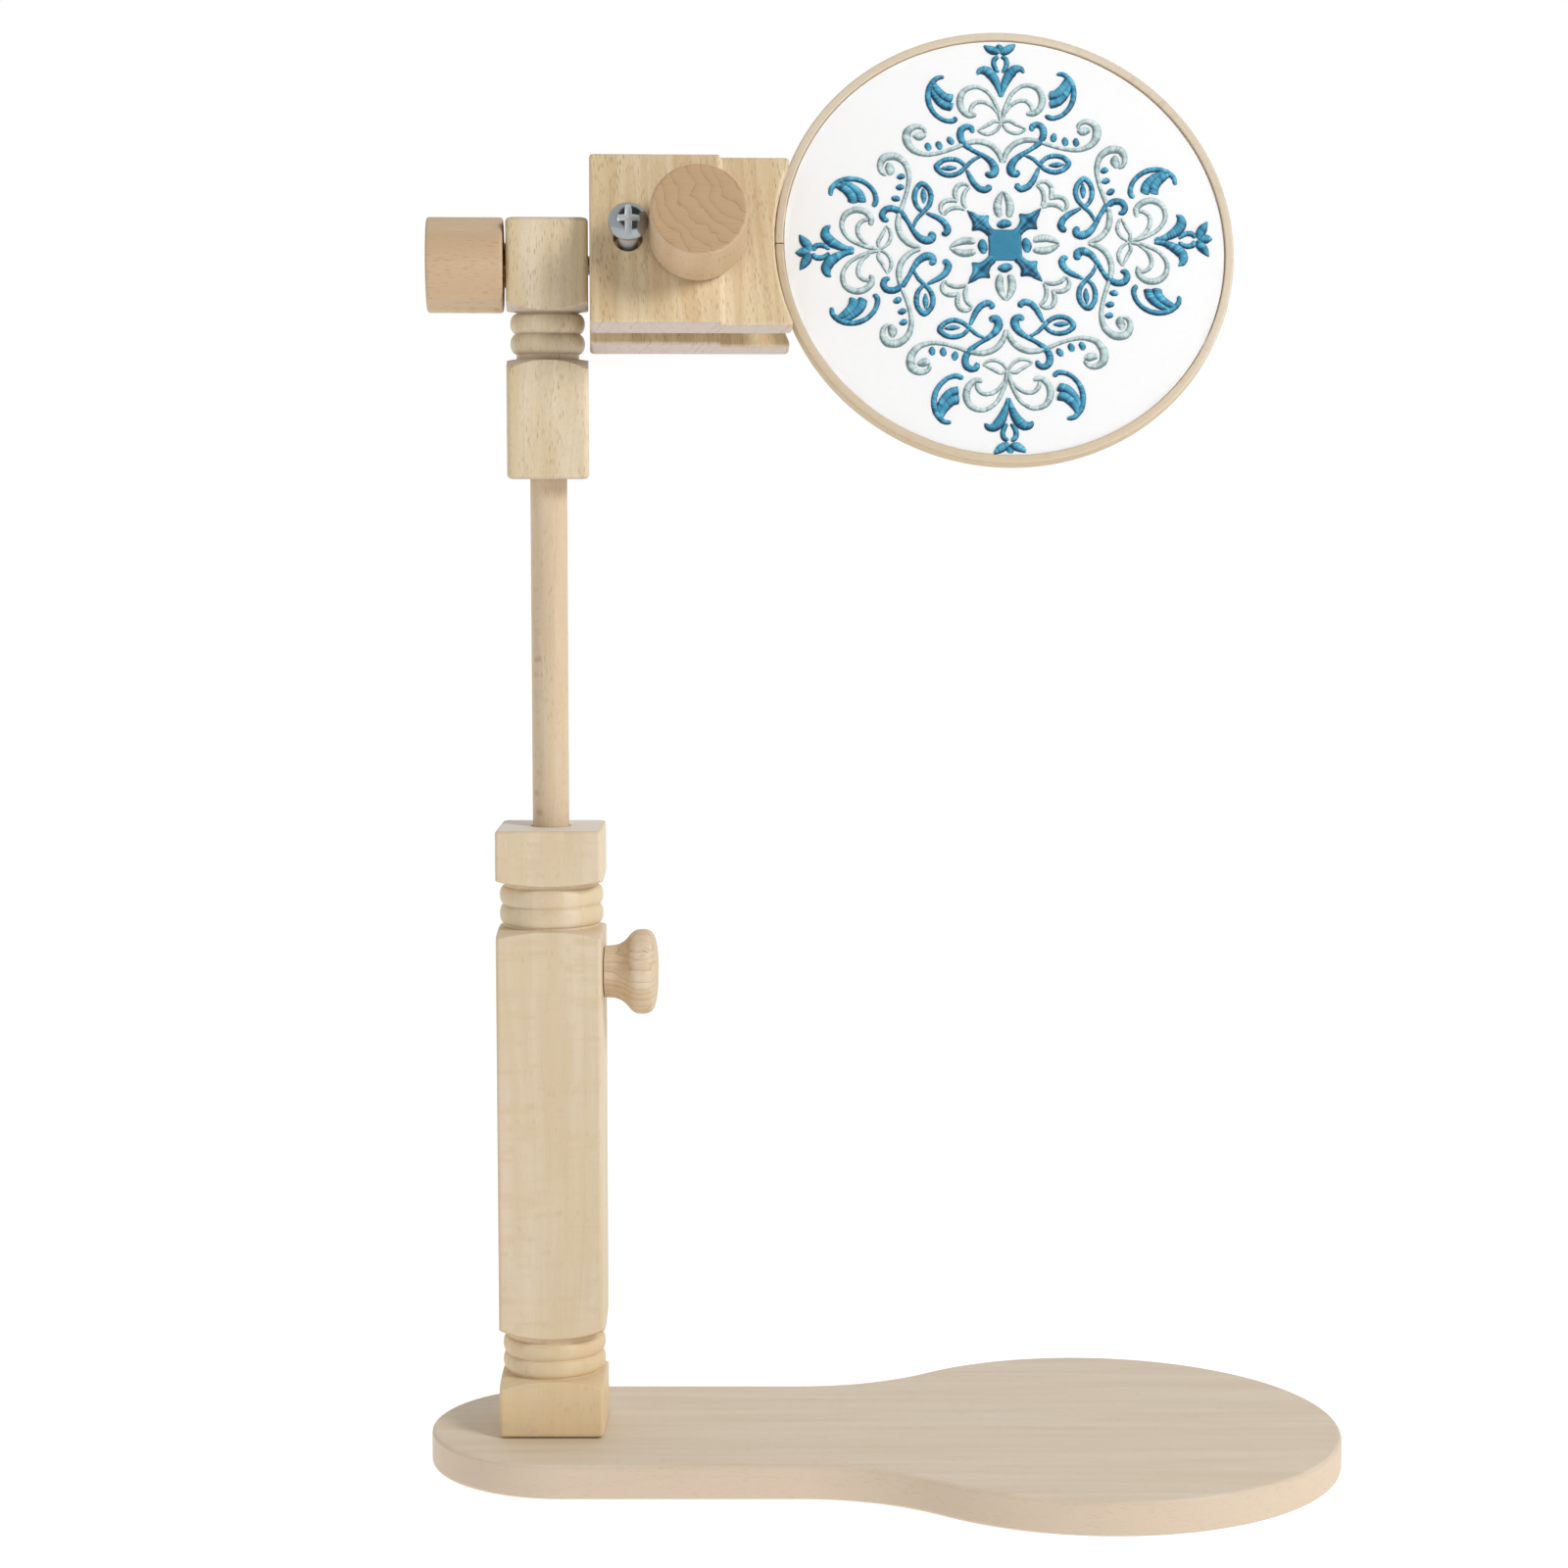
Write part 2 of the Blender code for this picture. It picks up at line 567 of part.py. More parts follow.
def make_tension_screw(hoop):
    """The screw that draws the two lugs together, its thumb head and its nut."""
    at_screw = axis_empty("tension_axis", (SCREW_X - HOOP_X, 0, 0), ALONG_Z, hoop)
    lug_end = SPLIT / 2 + LUG_T
    head_z = lug_end + GAP
    rod("tension_screw", SCREW_R, -17.0, head_z + 5.0, 20, 0.4, parent=at_screw, finish=BRASS_FINISH)
    head = tube("tension_thumb_head", SCREW_R + GAP, 4.4, head_z, head_z + 8.0, 24, 0.6,
                parent=at_screw, finish=BRASS_FINISH)
    groove = 0.55
    count = 12
    knurl = None
    for i in range(count):
        a = 2 * pi * i / count
        x, y = 4.75 * cos(a), 4.75 * sin(a)
        cut = rod(f"knurl_{i}", groove, head_z - 1, head_z + 9, 8, location=(x, y, 0), parent=at_screw)
        if knurl is None:
            knurl = cut
        else:
            combine(knurl, cut, "UNION")
    combine(head, knurl)
    nut_r = 3.6 / cos(pi / 6)
    nut = tube("tension_nut", SCREW_R + GAP, nut_r, -lug_end - GAP - 3.0, -lug_end - GAP, 6,
               parent=at_screw, finish=BRASS_FINISH)
    nut.modifiers["turn"].use_smooth_shade = False


# ---------------------------------------------------------------- assembly

def main():
    turn = (radians(-HEAD_TILT), 0.0, radians(HEAD_YAW))
    head_axis = axis_empty("tilt_axis", (POST_X, 0, AXLE_Z), turn)
    make_base()
    make_lower_post()
    make_lock()
    make_mast(head_axis)
    make_jaws(head_axis)
    make_axle(head_axis)
    make_guide_screw(head_axis)
    make_clamp_stud(head_axis)
    make_knob("tilt_knob", TILT_KNOB_L, HEAD_W / 2, (0, 0, 0), ALONG_MINUS_X, head_axis)
    make_knob("clamp_knob", CLAMP_KNOB_L, FRONT_N1, (CLAMP_X, 0, 0), ALONG_N, head_axis)
    make_hoop(head_axis)


main()
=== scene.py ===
"""Looks for the embroidery hoop on its table stand.

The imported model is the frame. The beech pieces, fittings, cloth and embroidery are modelled
around it at full resolution, each riding on the body of the CAD node that it stands for.
Lengths are in millimetres in each piece's own frame, up to the helpers that build meshes.
"""
import json
from math import asin, atan2, cos, degrees, pi, radians, sin, sqrt

import bpy
import numpy as np
from mathutils import Matrix, Vector


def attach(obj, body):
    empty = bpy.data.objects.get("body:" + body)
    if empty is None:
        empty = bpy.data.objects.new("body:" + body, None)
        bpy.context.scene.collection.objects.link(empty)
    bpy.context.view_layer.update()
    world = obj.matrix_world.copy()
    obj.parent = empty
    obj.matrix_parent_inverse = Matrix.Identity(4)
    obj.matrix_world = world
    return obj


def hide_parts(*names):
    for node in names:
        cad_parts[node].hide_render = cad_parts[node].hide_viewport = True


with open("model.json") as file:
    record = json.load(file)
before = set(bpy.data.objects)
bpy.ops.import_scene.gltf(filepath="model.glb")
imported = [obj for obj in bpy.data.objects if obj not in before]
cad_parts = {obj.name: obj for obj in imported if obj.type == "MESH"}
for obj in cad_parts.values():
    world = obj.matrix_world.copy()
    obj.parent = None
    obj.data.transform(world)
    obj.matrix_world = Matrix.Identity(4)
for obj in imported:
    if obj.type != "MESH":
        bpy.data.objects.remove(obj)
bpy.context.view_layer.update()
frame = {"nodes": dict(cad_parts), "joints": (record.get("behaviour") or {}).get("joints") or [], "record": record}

MM = 0.001
RECORD = frame["record"]
BODY_OF = {node: body for body, nodes in RECORD["behaviour"]["bodies"].items() for node in nodes}


# ---- frames and sizes

def joint(name):
    return next(j for j in frame["joints"] if j["name"] == name)


def axes_at(origin, x, y):
    """The frame at origin (metres) with these x and y directions."""
    matrix = Matrix((x, y, x.cross(y))).transposed().to_4x4()
    matrix.translation = origin
    return matrix


def span(node, matrix=Matrix.Identity(4)):
    """Lowest and highest corner of a CAD node in a frame's own axes, in mm."""
    mesh = frame["nodes"][node].data
    points = np.empty(len(mesh.vertices) * 3)
    mesh.vertices.foreach_get("co", points)
    inverse = np.array(matrix.inverted())
    local = points.reshape(-1, 3) @ inverse[:3, :3].T + inverse[:3, 3]
    return Vector(local.min(0) / MM), Vector(local.max(0) / MM)


def moved(matrix, x=0.0, y=0.0, z=0.0):
    """The frame moved along its own axes, in mm."""
    return matrix @ Matrix.Translation((x * MM, y * MM, z * MM))


def over(node, matrix):
    """The frame moved along its x to the middle of a CAD node."""
    low, high = span(node, matrix)
    return moved(matrix, (low.x + high.x) / 2)


WORLD_X, WORLD_Y, WORLD_Z = Vector((1, 0, 0)), Vector((0, 1, 0)), Vector((0, 0, 1))
ALONG = Vector(joint("head_tilt")["axis"]).normalized()  # along the tilt axle
OUT = Vector(joint("jaw_slide")["axis"]).normalized()  # out of the jaws' front
UP = OUT.cross(ALONG)  # up the jaws
TILT_POINT = Vector(joint("head_tilt")["pos_m"])

post_low, post_high = span("lower_post")
POST_X = (post_low.x + post_high.x) / 2
POST = axes_at(Vector((POST_X * MM, 0, 0)), WORLD_X, WORLD_Y)
HEAD_POST = axes_at(Vector((POST_X * MM, 0, 0)), ALONG, WORLD_Z.cross(ALONG))
FACE = axes_at(TILT_POINT, ALONG, UP)  # x along, y up, z out


def spun(direction, up):
    """A frame at the tilt axle whose z runs along direction."""
    side = up.cross(direction).normalized()
    return axes_at(TILT_POINT, side, direction.cross(side))


AXLE = spun(ALONG, UP)
KNOB_SIDE = spun(-ALONG, UP)
ring_low, ring_high = span("hoop_outer_ring", FACE)
RING_OUT_R = (ring_high.y - ring_low.y) / 2
HOOP_X = ring_high.x - RING_OUT_R
HOOP = moved(FACE, HOOP_X, (ring_high.y + ring_low.y) / 2, (ring_high.z + ring_low.z) / 2)
lock_low, lock_high = span("lock_knob")
LOCK_Z = (lock_low.z + lock_high.z) / 2
LOCK = axes_at(Vector((POST_X * MM, 0, LOCK_Z * MM)), WORLD_Y, WORLD_Z)
TENSION = axes_at(over("tension_screw", HOOP).translation, ALONG, -OUT)
GUIDE, CLAMP = over("guide_screw", FACE), over("clamp_stud", FACE)


# ---- mesh helpers

def mesh_piece(name, verts, faces, matrix):
    mesh = bpy.data.meshes.new(name)
    mesh.from_pydata((np.asarray(verts, float) * MM).tolist(), [], faces)
    obj = bpy.data.objects.new(name, mesh)
    bpy.context.scene.collection.objects.link(obj)
    obj.matrix_world = matrix
    return obj


def settle(obj, sharp, even=True):
    """Keep the evaluated mesh, smooth it, and leave edges over sharp degrees sharp."""
    bpy.context.view_layer.update()
    evaluated = obj.evaluated_get(bpy.context.evaluated_depsgraph_get())
    obj.data = bpy.data.meshes.new_from_object(evaluated)
    obj.data.name = obj.name
    cutters = [m.object for m in obj.modifiers if m.type == "BOOLEAN"]
    obj.modifiers.clear()
    for cutter in cutters:
        bpy.data.objects.remove(cutter, do_unlink=True)
    obj.data.shade_smooth()
    obj.data.set_sharp_from_angle(angle=radians(sharp))
    if even:
        normals = obj.modifiers.new("even_normals", "WEIGHTED_NORMAL")
        normals.keep_sharp = True
    return obj


def around(count):
    """Evenly spaced angles round a circle."""
    return np.arange(count) * 2 * pi / count


def revolved(name, rows, matrix, angles, ring=False):
    """Rows of (radius, z) from the top down the outer side; both may vary with the angle."""
    if isinstance(angles, int):
        angles = around(angles)
    count = len(angles)
    across = np.stack([np.cos(angles), np.sin(angles)], 1)
    verts, loops = [], []
    for radius, z in rows:
        start = len(verts)
        if np.max(radius) < 1e-6:
            verts.append((0.0, 0.0, z))
            loops.append([start] * count)
            continue
        points = across * np.broadcast_to(radius, count)[:, None]
        verts.extend(np.hstack([points, np.broadcast_to(z, count)[:, None]]).tolist())
        loops.append(list(range(start, start + count)))
    pairs = list(zip(loops, loops[1:])) + ([(loops[-1], loops[0])] if ring else [])
    faces = []
    for a, b in pairs:
        for i in range(count):
            j = (i + 1) % count
            face = list(dict.fromkeys((a[i], b[i], b[j], a[j])))
            if len(face) > 2:
                faces.append(face)
    return mesh_piece(name, verts, faces, matrix)


def rounded(points, radius, closed=False, steps=5):
    """An outline with its corners rounded. radius is one number, or one for each point."""
    count = len(points)
    radii = radius if hasattr(radius, "__len__") else [radius] * count
    out = []
    for i, (point, r) in enumerate(zip(points, radii)):
        if r == 0 or (not closed and i in (0, count - 1)):
            out.append(tuple(point))
            continue
        here = Vector(point)
        before, after = Vector(points[i - 1]) - here, Vector(points[(i + 1) % count]) - here
        half = before.angle(after) / 2
        reach = min(r / max(np.tan(half), 0.05), before.length * 0.49, after.length * 0.49)
        a, b = here + before.normalized() * reach, here + after.normalized() * reach
        for k in range(steps + 1):
            t = k / steps
            out.append(tuple(a * (1 - t) ** 2 + here * 2 * t * (1 - t) + b * t * t))
    return out


def block(name, low, high, matrix, taper=0.0):
    """A box, its lower face drawn in by taper on each side."""
    x, y, z = zip(low, high)
    verts = [(x[i] + (1 - k) * (1 - 2 * i) * taper, y[j] + (1 - k) * (1 - 2 * j) * taper, z[k])
             for i in (0, 1) for j in (0, 1) for k in (0, 1)]
    faces = [(0, 1, 3, 2), (4, 6, 7, 5), (0, 4, 5, 1), (2, 3, 7, 6), (0, 2, 6, 4), (1, 5, 7, 3)]
    return mesh_piece(name, verts, faces, matrix)


def plate(name, outline, z0, z1, matrix):
    """A flat outline (anticlockwise) from z0 up to z1."""
    count = len(outline)
    verts = [(x, y, z) for z in (z0, z1) for x, y in outline]
    faces = [tuple(range(count - 1, -1, -1)), tuple(range(count, 2 * count))]
    for i in range(count):
        j = (i + 1) % count
        faces.append((i, j, j + count, i + count))
    return mesh_piece(name, verts, faces, matrix)


def soften(obj, edge):
    """Round every edge of over 40 degrees."""
    bevel = obj.modifiers.new("edges", "BEVEL")
    bevel.width = edge * MM
    bevel.segments = 4
    bevel.limit_method = "ANGLE"
    bevel.angle_limit = radians(40)
    return obj


def cut(obj, cutter):
    """Take the cutter's shape out of obj, once obj settles."""
    mod = obj.modifiers.new("cut_" + cutter.name, "BOOLEAN")
    mod.object = cutter
    mod.solver = "EXACT"
    return obj


def drill(obj, radius, z0, z1, matrix, flare=0.0):
    """Cut a round hole from z0 up to z1, its top mouth flared."""
    rows = [(0, z1 + 3), (radius + flare, z1 + 3), (radius + flare, z1), (radius, z1 - flare), (radius, z0),
            (0, z0)]
    return cut(obj, revolved("hole", rows, matrix, 64))


def arc(cx, cy, r, a0, a1, count):
    """Points on an arc from a0 to a1 degrees."""
    angles = [radians(a0 + (a1 - a0) * i / count) for i in range(count + 1)]
    return [(cx + r * cos(a), cy + r * sin(a)) for a in angles]


def travelled(points):
    """The distance along a line of points, from 0."""
    return np.concatenate([[0], np.cumsum(np.hypot(*np.diff(points, axis=0).T))])


def catmull(knots, values, at):
    """Smooth curve through values at knots (a cubic with the neighbours' slopes)."""
    slopes = np.gradient(values, knots)
    i = np.clip(np.searchsorted(knots, at, side="right") - 1, 0, len(knots) - 2)
    gap = knots[i + 1] - knots[i]
    t = (at - knots[i]) / gap
    h00, h10 = 2 * t ** 3 - 3 * t ** 2 + 1, t ** 3 - 2 * t ** 2 + t
    h01, h11 = -2 * t ** 3 + 3 * t ** 2, t ** 3 - t ** 2
    return h00 * values[i] + h10 * gap * slopes[i] + h01 * values[i + 1] + h11 * gap * slopes[i + 1]


def ride_with(obj, material, node):
    """obj is a piece on this CAD node's body, with this material."""
    obj.data.materials.clear()
    obj.data.materials.append(material)
    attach(obj, BODY_OF[node])
    return obj


def stand_in(obj, material, node, sharp=38, even=True):
    """obj settles and shows in place of this CAD node."""
    settle(obj, sharp, even)
    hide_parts(node)
    return ride_with(obj, material, node)


# ---- materials

def linear(text):
    """A #rrggbb colour as linear RGBA."""
    values = [int(text[i:i + 2], 16) / 255 for i in (1, 3, 5)]
    return [v / 12.92 if v <= 0.04045 else ((v + 0.055) / 1.055) ** 2.4 for v in values] + [1.0]


def darker(text, share):
    return [share * value for value in linear(text)[:3]] + [1.0]


class Nodes:
    """A material or world with short calls that add and link its nodes."""

    def __init__(self, name, world=False):
        self.owner = (bpy.data.worlds if world else bpy.data.materials).new(name)
        self.owner.use_nodes = True
        self.tree = self.owner.node_tree
        self.shader = self.tree.nodes["Background" if world else "Principled BSDF"]

    def add(self, kind, inputs=None, **settings):
        node = self.tree.nodes.new("ShaderNode" + kind)
        for key, value in settings.items():
            setattr(node, key, value)
        for key, value in (inputs or {}).items():
            self.put(value, node.inputs[key])
        return node

    def put(self, value, socket):
        if isinstance(value, bpy.types.NodeSocket):
            self.tree.links.new(value, socket)
        else:
            socket.default_value = value

    def place(self, kind="Object"):
        """Object coordinates in mm, or the normal in the object's frame."""
        coordinates = self.add("TexCoord").outputs[kind]
        return coordinates if kind == "Normal" else self.scaled(coordinates, 1000, 1000, 1000)

    def math(self, operation, a, b=0.0):
        return self.add("Math", {0: a, 1: b}, operation=operation).outputs[0]

    def plus(self, a, b):
        return self.math("ADD", a, b)

    def minus(self, a, b):
        return self.math("SUBTRACT", a, b)

    def times(self, a, b):
        return self.math("MULTIPLY", a, b)

    def size(self, a):
        return self.math("ABSOLUTE", a)

    def length(self, x, y):
        return self.math("SQRT", self.plus(self.times(x, x), self.times(y, y)))

    def band(self, value, low, high, out_low=0.0, out_high=1.0):
        """value brought smoothly from low..high to out_low..out_high."""
        inputs = dict(enumerate((value, low, high, out_low, out_high)))
        return self.add("MapRange", inputs, interpolation_type="SMOOTHSTEP").outputs[0]

    def mix(self, share, a, b):
        """Colour a turned to colour b by share."""
        return self.add("Mix", {0: share, 6: a, 7: b}, data_type="RGBA").outputs[2]

    def vector(self, x, y, z):
        return self.add("CombineXYZ", {0: x, 1: y, 2: z}).outputs[0]

    def parts(self, vector):
        return self.add("SeparateXYZ", {0: vector}).outputs

    def scaled(self, vector, x, y, z):
        return self.add("VectorMath", {0: vector, 1: (x, y, z)}, operation="MULTIPLY").outputs[0]

    def pushed(self, vector, by, amounts):
        return self.add("VectorMath", {0: by, 1: amounts, 2: vector}, operation="MULTIPLY_ADD").outputs[0]

    def rotated(self, vector, *degrees_xyz):
        angles = [radians(angle) for angle in degrees_xyz]
        return self.add("VectorRotate", {"Vector": vector, "Rotation": angles},
                        rotation_type="EULER_XYZ").outputs[0]

    def noise(self, vector, detail=2.0, roughness=0.5, output="Fac"):
        return self.add("TexNoise", {"Vector": vector, "Scale": 1.0, "Detail": detail,
                                     "Roughness": roughness}).outputs[output]

    def strokes(self, across, along, per_across, per_along, outer, inner):
        """Scattered spindles that are long along one direction, about two in three cells."""
        place = self.vector(self.times(across, per_across), self.times(along, per_along), 0.0)
        cells = self.add("TexVoronoi", {"Vector": place, "Scale": 1.0}, voronoi_dimensions="2D",
                         feature="F1", distance="EUCLIDEAN")
        red = self.add("SeparateColor", {0: cells.outputs["Color"]}).outputs[0]
        return self.times(self.band(cells.outputs["Distance"], outer, inner), self.band(red, 0.25, 0.7))

    def bump(self, height, strength, depth):
        node = self.add("Bump", {"Height": height, "Strength": strength, "Distance": depth * MM})
        self.put(node.outputs[0], self.shader.inputs["Normal"])

    def finish(self, **inputs):
        for key, value in inputs.items():
            self.put(value, self.shader.inputs[key.replace("_", " ").title().replace("Ior", "IOR")])
        return self.owner


GRAIN_UPRIGHT = {"z": (0, 0, 0), "x": (0, -90, 0), "y": (90, 0, 0)}  # turns the fibres onto z


def beech(name, pale, deep, fleck, end, flecks=0.6, rings=0.25, turn=0.0, lean=0.0, grain="z",
          ring_gap=5.0, pith=(14.0, 31.0), streak=0.12, bent=False, side=None, mottle=0.3,
          side_rings=1.0, ends=(0.55, 0.95), foot=None):
    """Beech: rays, growth rings, fibres and darker end grain, all from one solid texture.

    grain is the piece's axis that the fibres follow. turn says how far round it the rays lie, and
    lean how far the fibres slope, both in degrees. A bent piece's fibres follow its curve. pith is
    where the tree's middle lies, side is the colour of a flat piece's edges, and side_rings is the
    share of the growth rings that shows off the end grain. ends says how square to the grain a face is
    where end grain starts and is full. foot is the colour that the piece turns to from one place along
    the fibres to another, in mm."""
    n = Nodes(name)
    end_share = side_share = None
    if bent:
        x, y, z = n.parts(n.place())
        wood = n.vector(n.length(x, y), z, n.times(n.math("ARCTAN2", y, x), RING_OUT_R))
    else:
        upright = n.rotated(n.place(), *GRAIN_UPRIGHT[grain])
        wood = n.rotated(n.rotated(upright, 0, 0, turn), lean, 0, 0)
        facing = n.parts(n.rotated(n.place("Normal"), *GRAIN_UPRIGHT[grain]))
        end_share = n.band(n.size(facing[2]), *ends)
    if side:
        side_share = n.band(n.size(n.parts(n.place("Normal"))[2]), 0.85, 0.35)

    sway = n.minus(n.noise(n.scaled(wood, 0.05, 0.05, 0.012)), 0.5)
    wood = n.pushed(wood, n.vector(sway, sway, 0.0), (7.0, 5.0, 0.0))
    radial, tangent, along = n.parts(wood)

    # rays are thin across and short along the fibres, and run out from the pith
    shift = n.times(n.noise(n.scaled(wood, 0.22, 0.0, 0.0), detail=1.0), 3.0)
    spindle = n.strokes(n.plus(tangent, shift), along, 1.8, 0.19, 0.27, 0.10)
    short = n.strokes(tangent, n.plus(along, shift), 3.1, 0.42, 0.34, 0.10)
    worn = n.band(n.noise(n.scaled(wood, 0.12, 0.25, 0.05)), 0.36, 0.62)
    fibre = n.noise(n.scaled(wood, 6.0, 6.0, 0.25), detail=3.0, roughness=0.6)
    cloud = n.noise(n.scaled(wood, 0.05, 0.45, 0.28), detail=3.0, roughness=0.6)
    tone = n.noise(n.scaled(wood, streak, streak, 0.008), detail=3.0, roughness=0.6)

    # growth rings: pale early wood that darkens to a thin line
    reach = n.length(n.plus(radial, pith[0]), n.plus(tangent, pith[1]))
    wave = n.times(n.noise(n.scaled(wood, 0.10, 0.10, 0.012), detail=3.0), 11.0)
    phase = n.math("FRACT", n.math("DIVIDE", n.plus(reach, wave), ring_gap))
    late = n.plus(n.times(n.band(phase, 0.35, 0.93), 0.28), n.times(n.band(phase, 0.86, 0.94), 0.72))
    late = n.times(late, n.band(phase, 1.0, 0.965))

    colour = n.mix(n.band(tone, 0.33, 0.67), linear(pale), linear(deep))
    if side_share:
        colour = n.mix(side_share, colour, linear(side))
        flecks = n.plus(n.times(side_share, 0.25), flecks)
    if foot:
        colour = n.mix(n.times(n.band(along, *foot[1:]), 0.75), colour, linear(foot[0]))
    colour = n.mix(n.times(n.band(cloud, 0.48, 0.70), mottle), colour, linear(deep))
    if end_share:
        colour = n.mix(end_share, colour, linear(end))
        late = n.times(late, n.plus(n.times(end_share, 1 - side_rings), side_rings))
    for share in (n.times(late, rings), n.times(n.band(fibre, 0.50, 0.78), 0.16),
                  n.times(n.times(short, flecks), 0.30), n.times(n.times(spindle, worn), flecks)):
        colour = n.mix(share, colour, linear(fleck))
    n.bump(n.minus(n.times(fibre, 0.6), n.times(spindle, 0.4)), 0.3, 0.05)
    return n.finish(base_color=colour, roughness=n.band(fibre, 0.2, 0.8, 0.44, 0.58),
                    specular_ior_level=0.35)


def metal(name, colour, rough, grain=(3.0, 3.0, 3.0), metallic=1.0):
    """Plated or turned metal, a little uneven and finely scratched."""
    n = Nodes(name)
    place = n.place()
    cloud = n.noise(n.scaled(place, 0.35, 0.35, 0.35), 3.0)
    scratch = n.noise(n.scaled(place, *grain), 4.0, 0.7)
    shade = n.mix(n.times(n.band(cloud, 0.35, 0.75), 0.15), linear(colour), darker(colour, 0.55))
    n.bump(scratch, 0.15, 0.02)
    return n.finish(base_color=shade, metallic=metallic,
                    roughness=n.band(scratch, 0.3, 0.75, rough, rough + 0.14))


def weave(name, colour):
    """Fine plain-weave cotton, about three threads to the millimetre."""
    n = Nodes(name)
    place = n.place()
    wander = n.noise(n.scaled(place, 0.6, 0.6, 0.6), output="Color")
    x, y, _ = n.parts(n.scaled(n.pushed(place, wander, (0.5, 0.5, 0.0)), 3.1, 3.1, 3.1))
    warp, weft = (n.size(n.math("SINE", n.times(a, pi))) for a in (x, y))
    over = n.size(n.math("MODULO", n.plus(n.math("FLOOR", x), n.math("FLOOR", y)), 2.0))
    crown = n.plus(n.times(over, n.times(warp, n.math("SQRT", weft))),
                   n.times(n.minus(1.0, over), n.times(weft, n.math("SQRT", warp))))
    slub = n.noise(n.scaled(place, 0.15, 2.6, 2.6))
    # painted shade: the threads are darker where they dip into the weave's hollows
    shade = n.mix(n.band(crown, 0.0, 0.7), darker(colour, 0.86), linear(colour))
    shade = n.mix(n.times(n.band(slub, 0.55, 0.8), 0.10), shade, linear("#D9DADB"))
    n.bump(crown, 0.45, 0.08)
    return n.finish(base_color=shade, roughness=0.88, sheen_weight=0.12, specular_ior_level=0.2)


def thread(name, dark, mid, light):
    """Glossy embroidery thread. Each stitch has its own tone, kept on the mesh; the tone also carries painted
    shade, shown in the dark colour, and painted highlight, shown in the light colour.
    """
    n = Nodes(name)
    tone = n.add("Attribute", attribute_name="tone").outputs["Fac"]
    fuzz = n.noise(n.scaled(n.place(), 7.0, 7.0, 7.0), 3.0, 0.6)
    tone = n.plus(tone, n.times(n.minus(fuzz, 0.5), 0.25))
    # dark colour for painted shade, light colour for painted highlight, as the tone says
    colour = n.mix(n.band(tone, 0.05, 0.62), linear(dark), linear(mid))
    colour = n.mix(n.band(tone, 0.58, 0.98), colour, linear(light))
    n.bump(fuzz, 0.3, 0.05)
    return n.finish(base_color=colour, roughness=0.42, sheen_weight=0.05, specular_ior_level=0.35)


BOARD_WOOD = beech("beech_board", "#DECFBA", "#D7C6AE", "#B59A7C", "#D8C3AA", flecks=0.10, rings=0.06,
                   turn=80, grain="x", side="#D8C4AD", mottle=0.15, ring_gap=7.0, pith=(20.0, 70.0))
POST_WOOD = beech("beech_post", "#DDCBB2", "#D5C19F", "#B29167", "#E2D8CC", flecks=0.16, rings=0.06,
                  turn=5, lean=1.5, mottle=0.9, ends=(0.97, 0.998), foot=("#E2C798", 62.0, 14.0))
HEAD_WOOD = beech("beech_head_post", "#DECEB4", "#D0BC98", "#957650", "#C9B9A8", flecks=0.65, rings=0.1,
                  turn=65, lean=2.0)
JAW_WOOD = beech("beech_jaw", "#DFCCAA", "#D1B78F", "#8F6F4A", "#CCBDB3", flecks=0.7, rings=0.12,
                 turn=70, lean=-3.0, grain="y", streak=0.2)
ROD_WOOD = beech("beech_rod", "#D7C3A6", "#CDB596", "#8E6C48", "#C0A07C", flecks=0.35, rings=0.1, turn=40)
KNOB_WOOD = beech("beech_knob", "#CDB394", "#C6AA88", "#93714E", "#BC9D7A", flecks=0.4, rings=0.45,
                  ring_gap=4.0, pith=(-29.0, -20.0), side_rings=0.05)
LOCK_WOOD = beech("beech_lock_knob", "#DDCAAF", "#D2B997", "#96734E", "#D2BC9C", flecks=0.45, rings=0.4,
                  turn=70, ring_gap=3.0, pith=(40.0, 9.0))
RING_WOOD = beech("beech_ring", "#DED3C3", "#D2C3AC", "#AC8E6A", "#CDB694", flecks=0.25, rings=0.05,
                  bent=True, side="#C6AF8E", foot=("#CBB799", -20.0, -80.0))
STEEL = metal("bright_steel", "#A2A8AA", 0.13)
ZINC = metal("matt_zinc", "#DDDFE1", 0.42, metallic=0.55)
BRASS = metal("plain_brass", "#CFA65C", 0.22, (1.0, 1.0, 6.0))
CLOTH = weave("white_cotton", "#F9F9F9")
BLUE = thread("thread_blue", "#0A3A58", "#3F98BA", "#84D6EC")
MINT = thread("thread_mint", "#6A8184", "#C0D4D4", "#E9F2F5")


# ---- base board

def board_outline(low, high):
    """The wide round end, its hollow shoulders and the narrow round end."""
    wide_r = (high.y - low.y) / 2
    narrow_r = 44.0
    waist_r = 65.0
    wide_x, narrow_x = high.x - wide_r, low.x + narrow_r
    rise = narrow_r + waist_r
    reach = sqrt((wide_r + waist_r) ** 2 - rise ** 2)
    waist_x = wide_x - reach
    meet = degrees(atan2(rise, -reach))
    turn = degrees(atan2(-rise, reach))
    points = arc(wide_x, 0, wide_r, -meet, meet, 120)
    points += arc(waist_x, rise, waist_r, turn, -90, 20)[1:]
    points += arc(narrow_x, 0, narrow_r, 90, 270, 64)
    points += arc(waist_x, -rise, waist_r, 90, -turn, 20)[:-1]
    return points


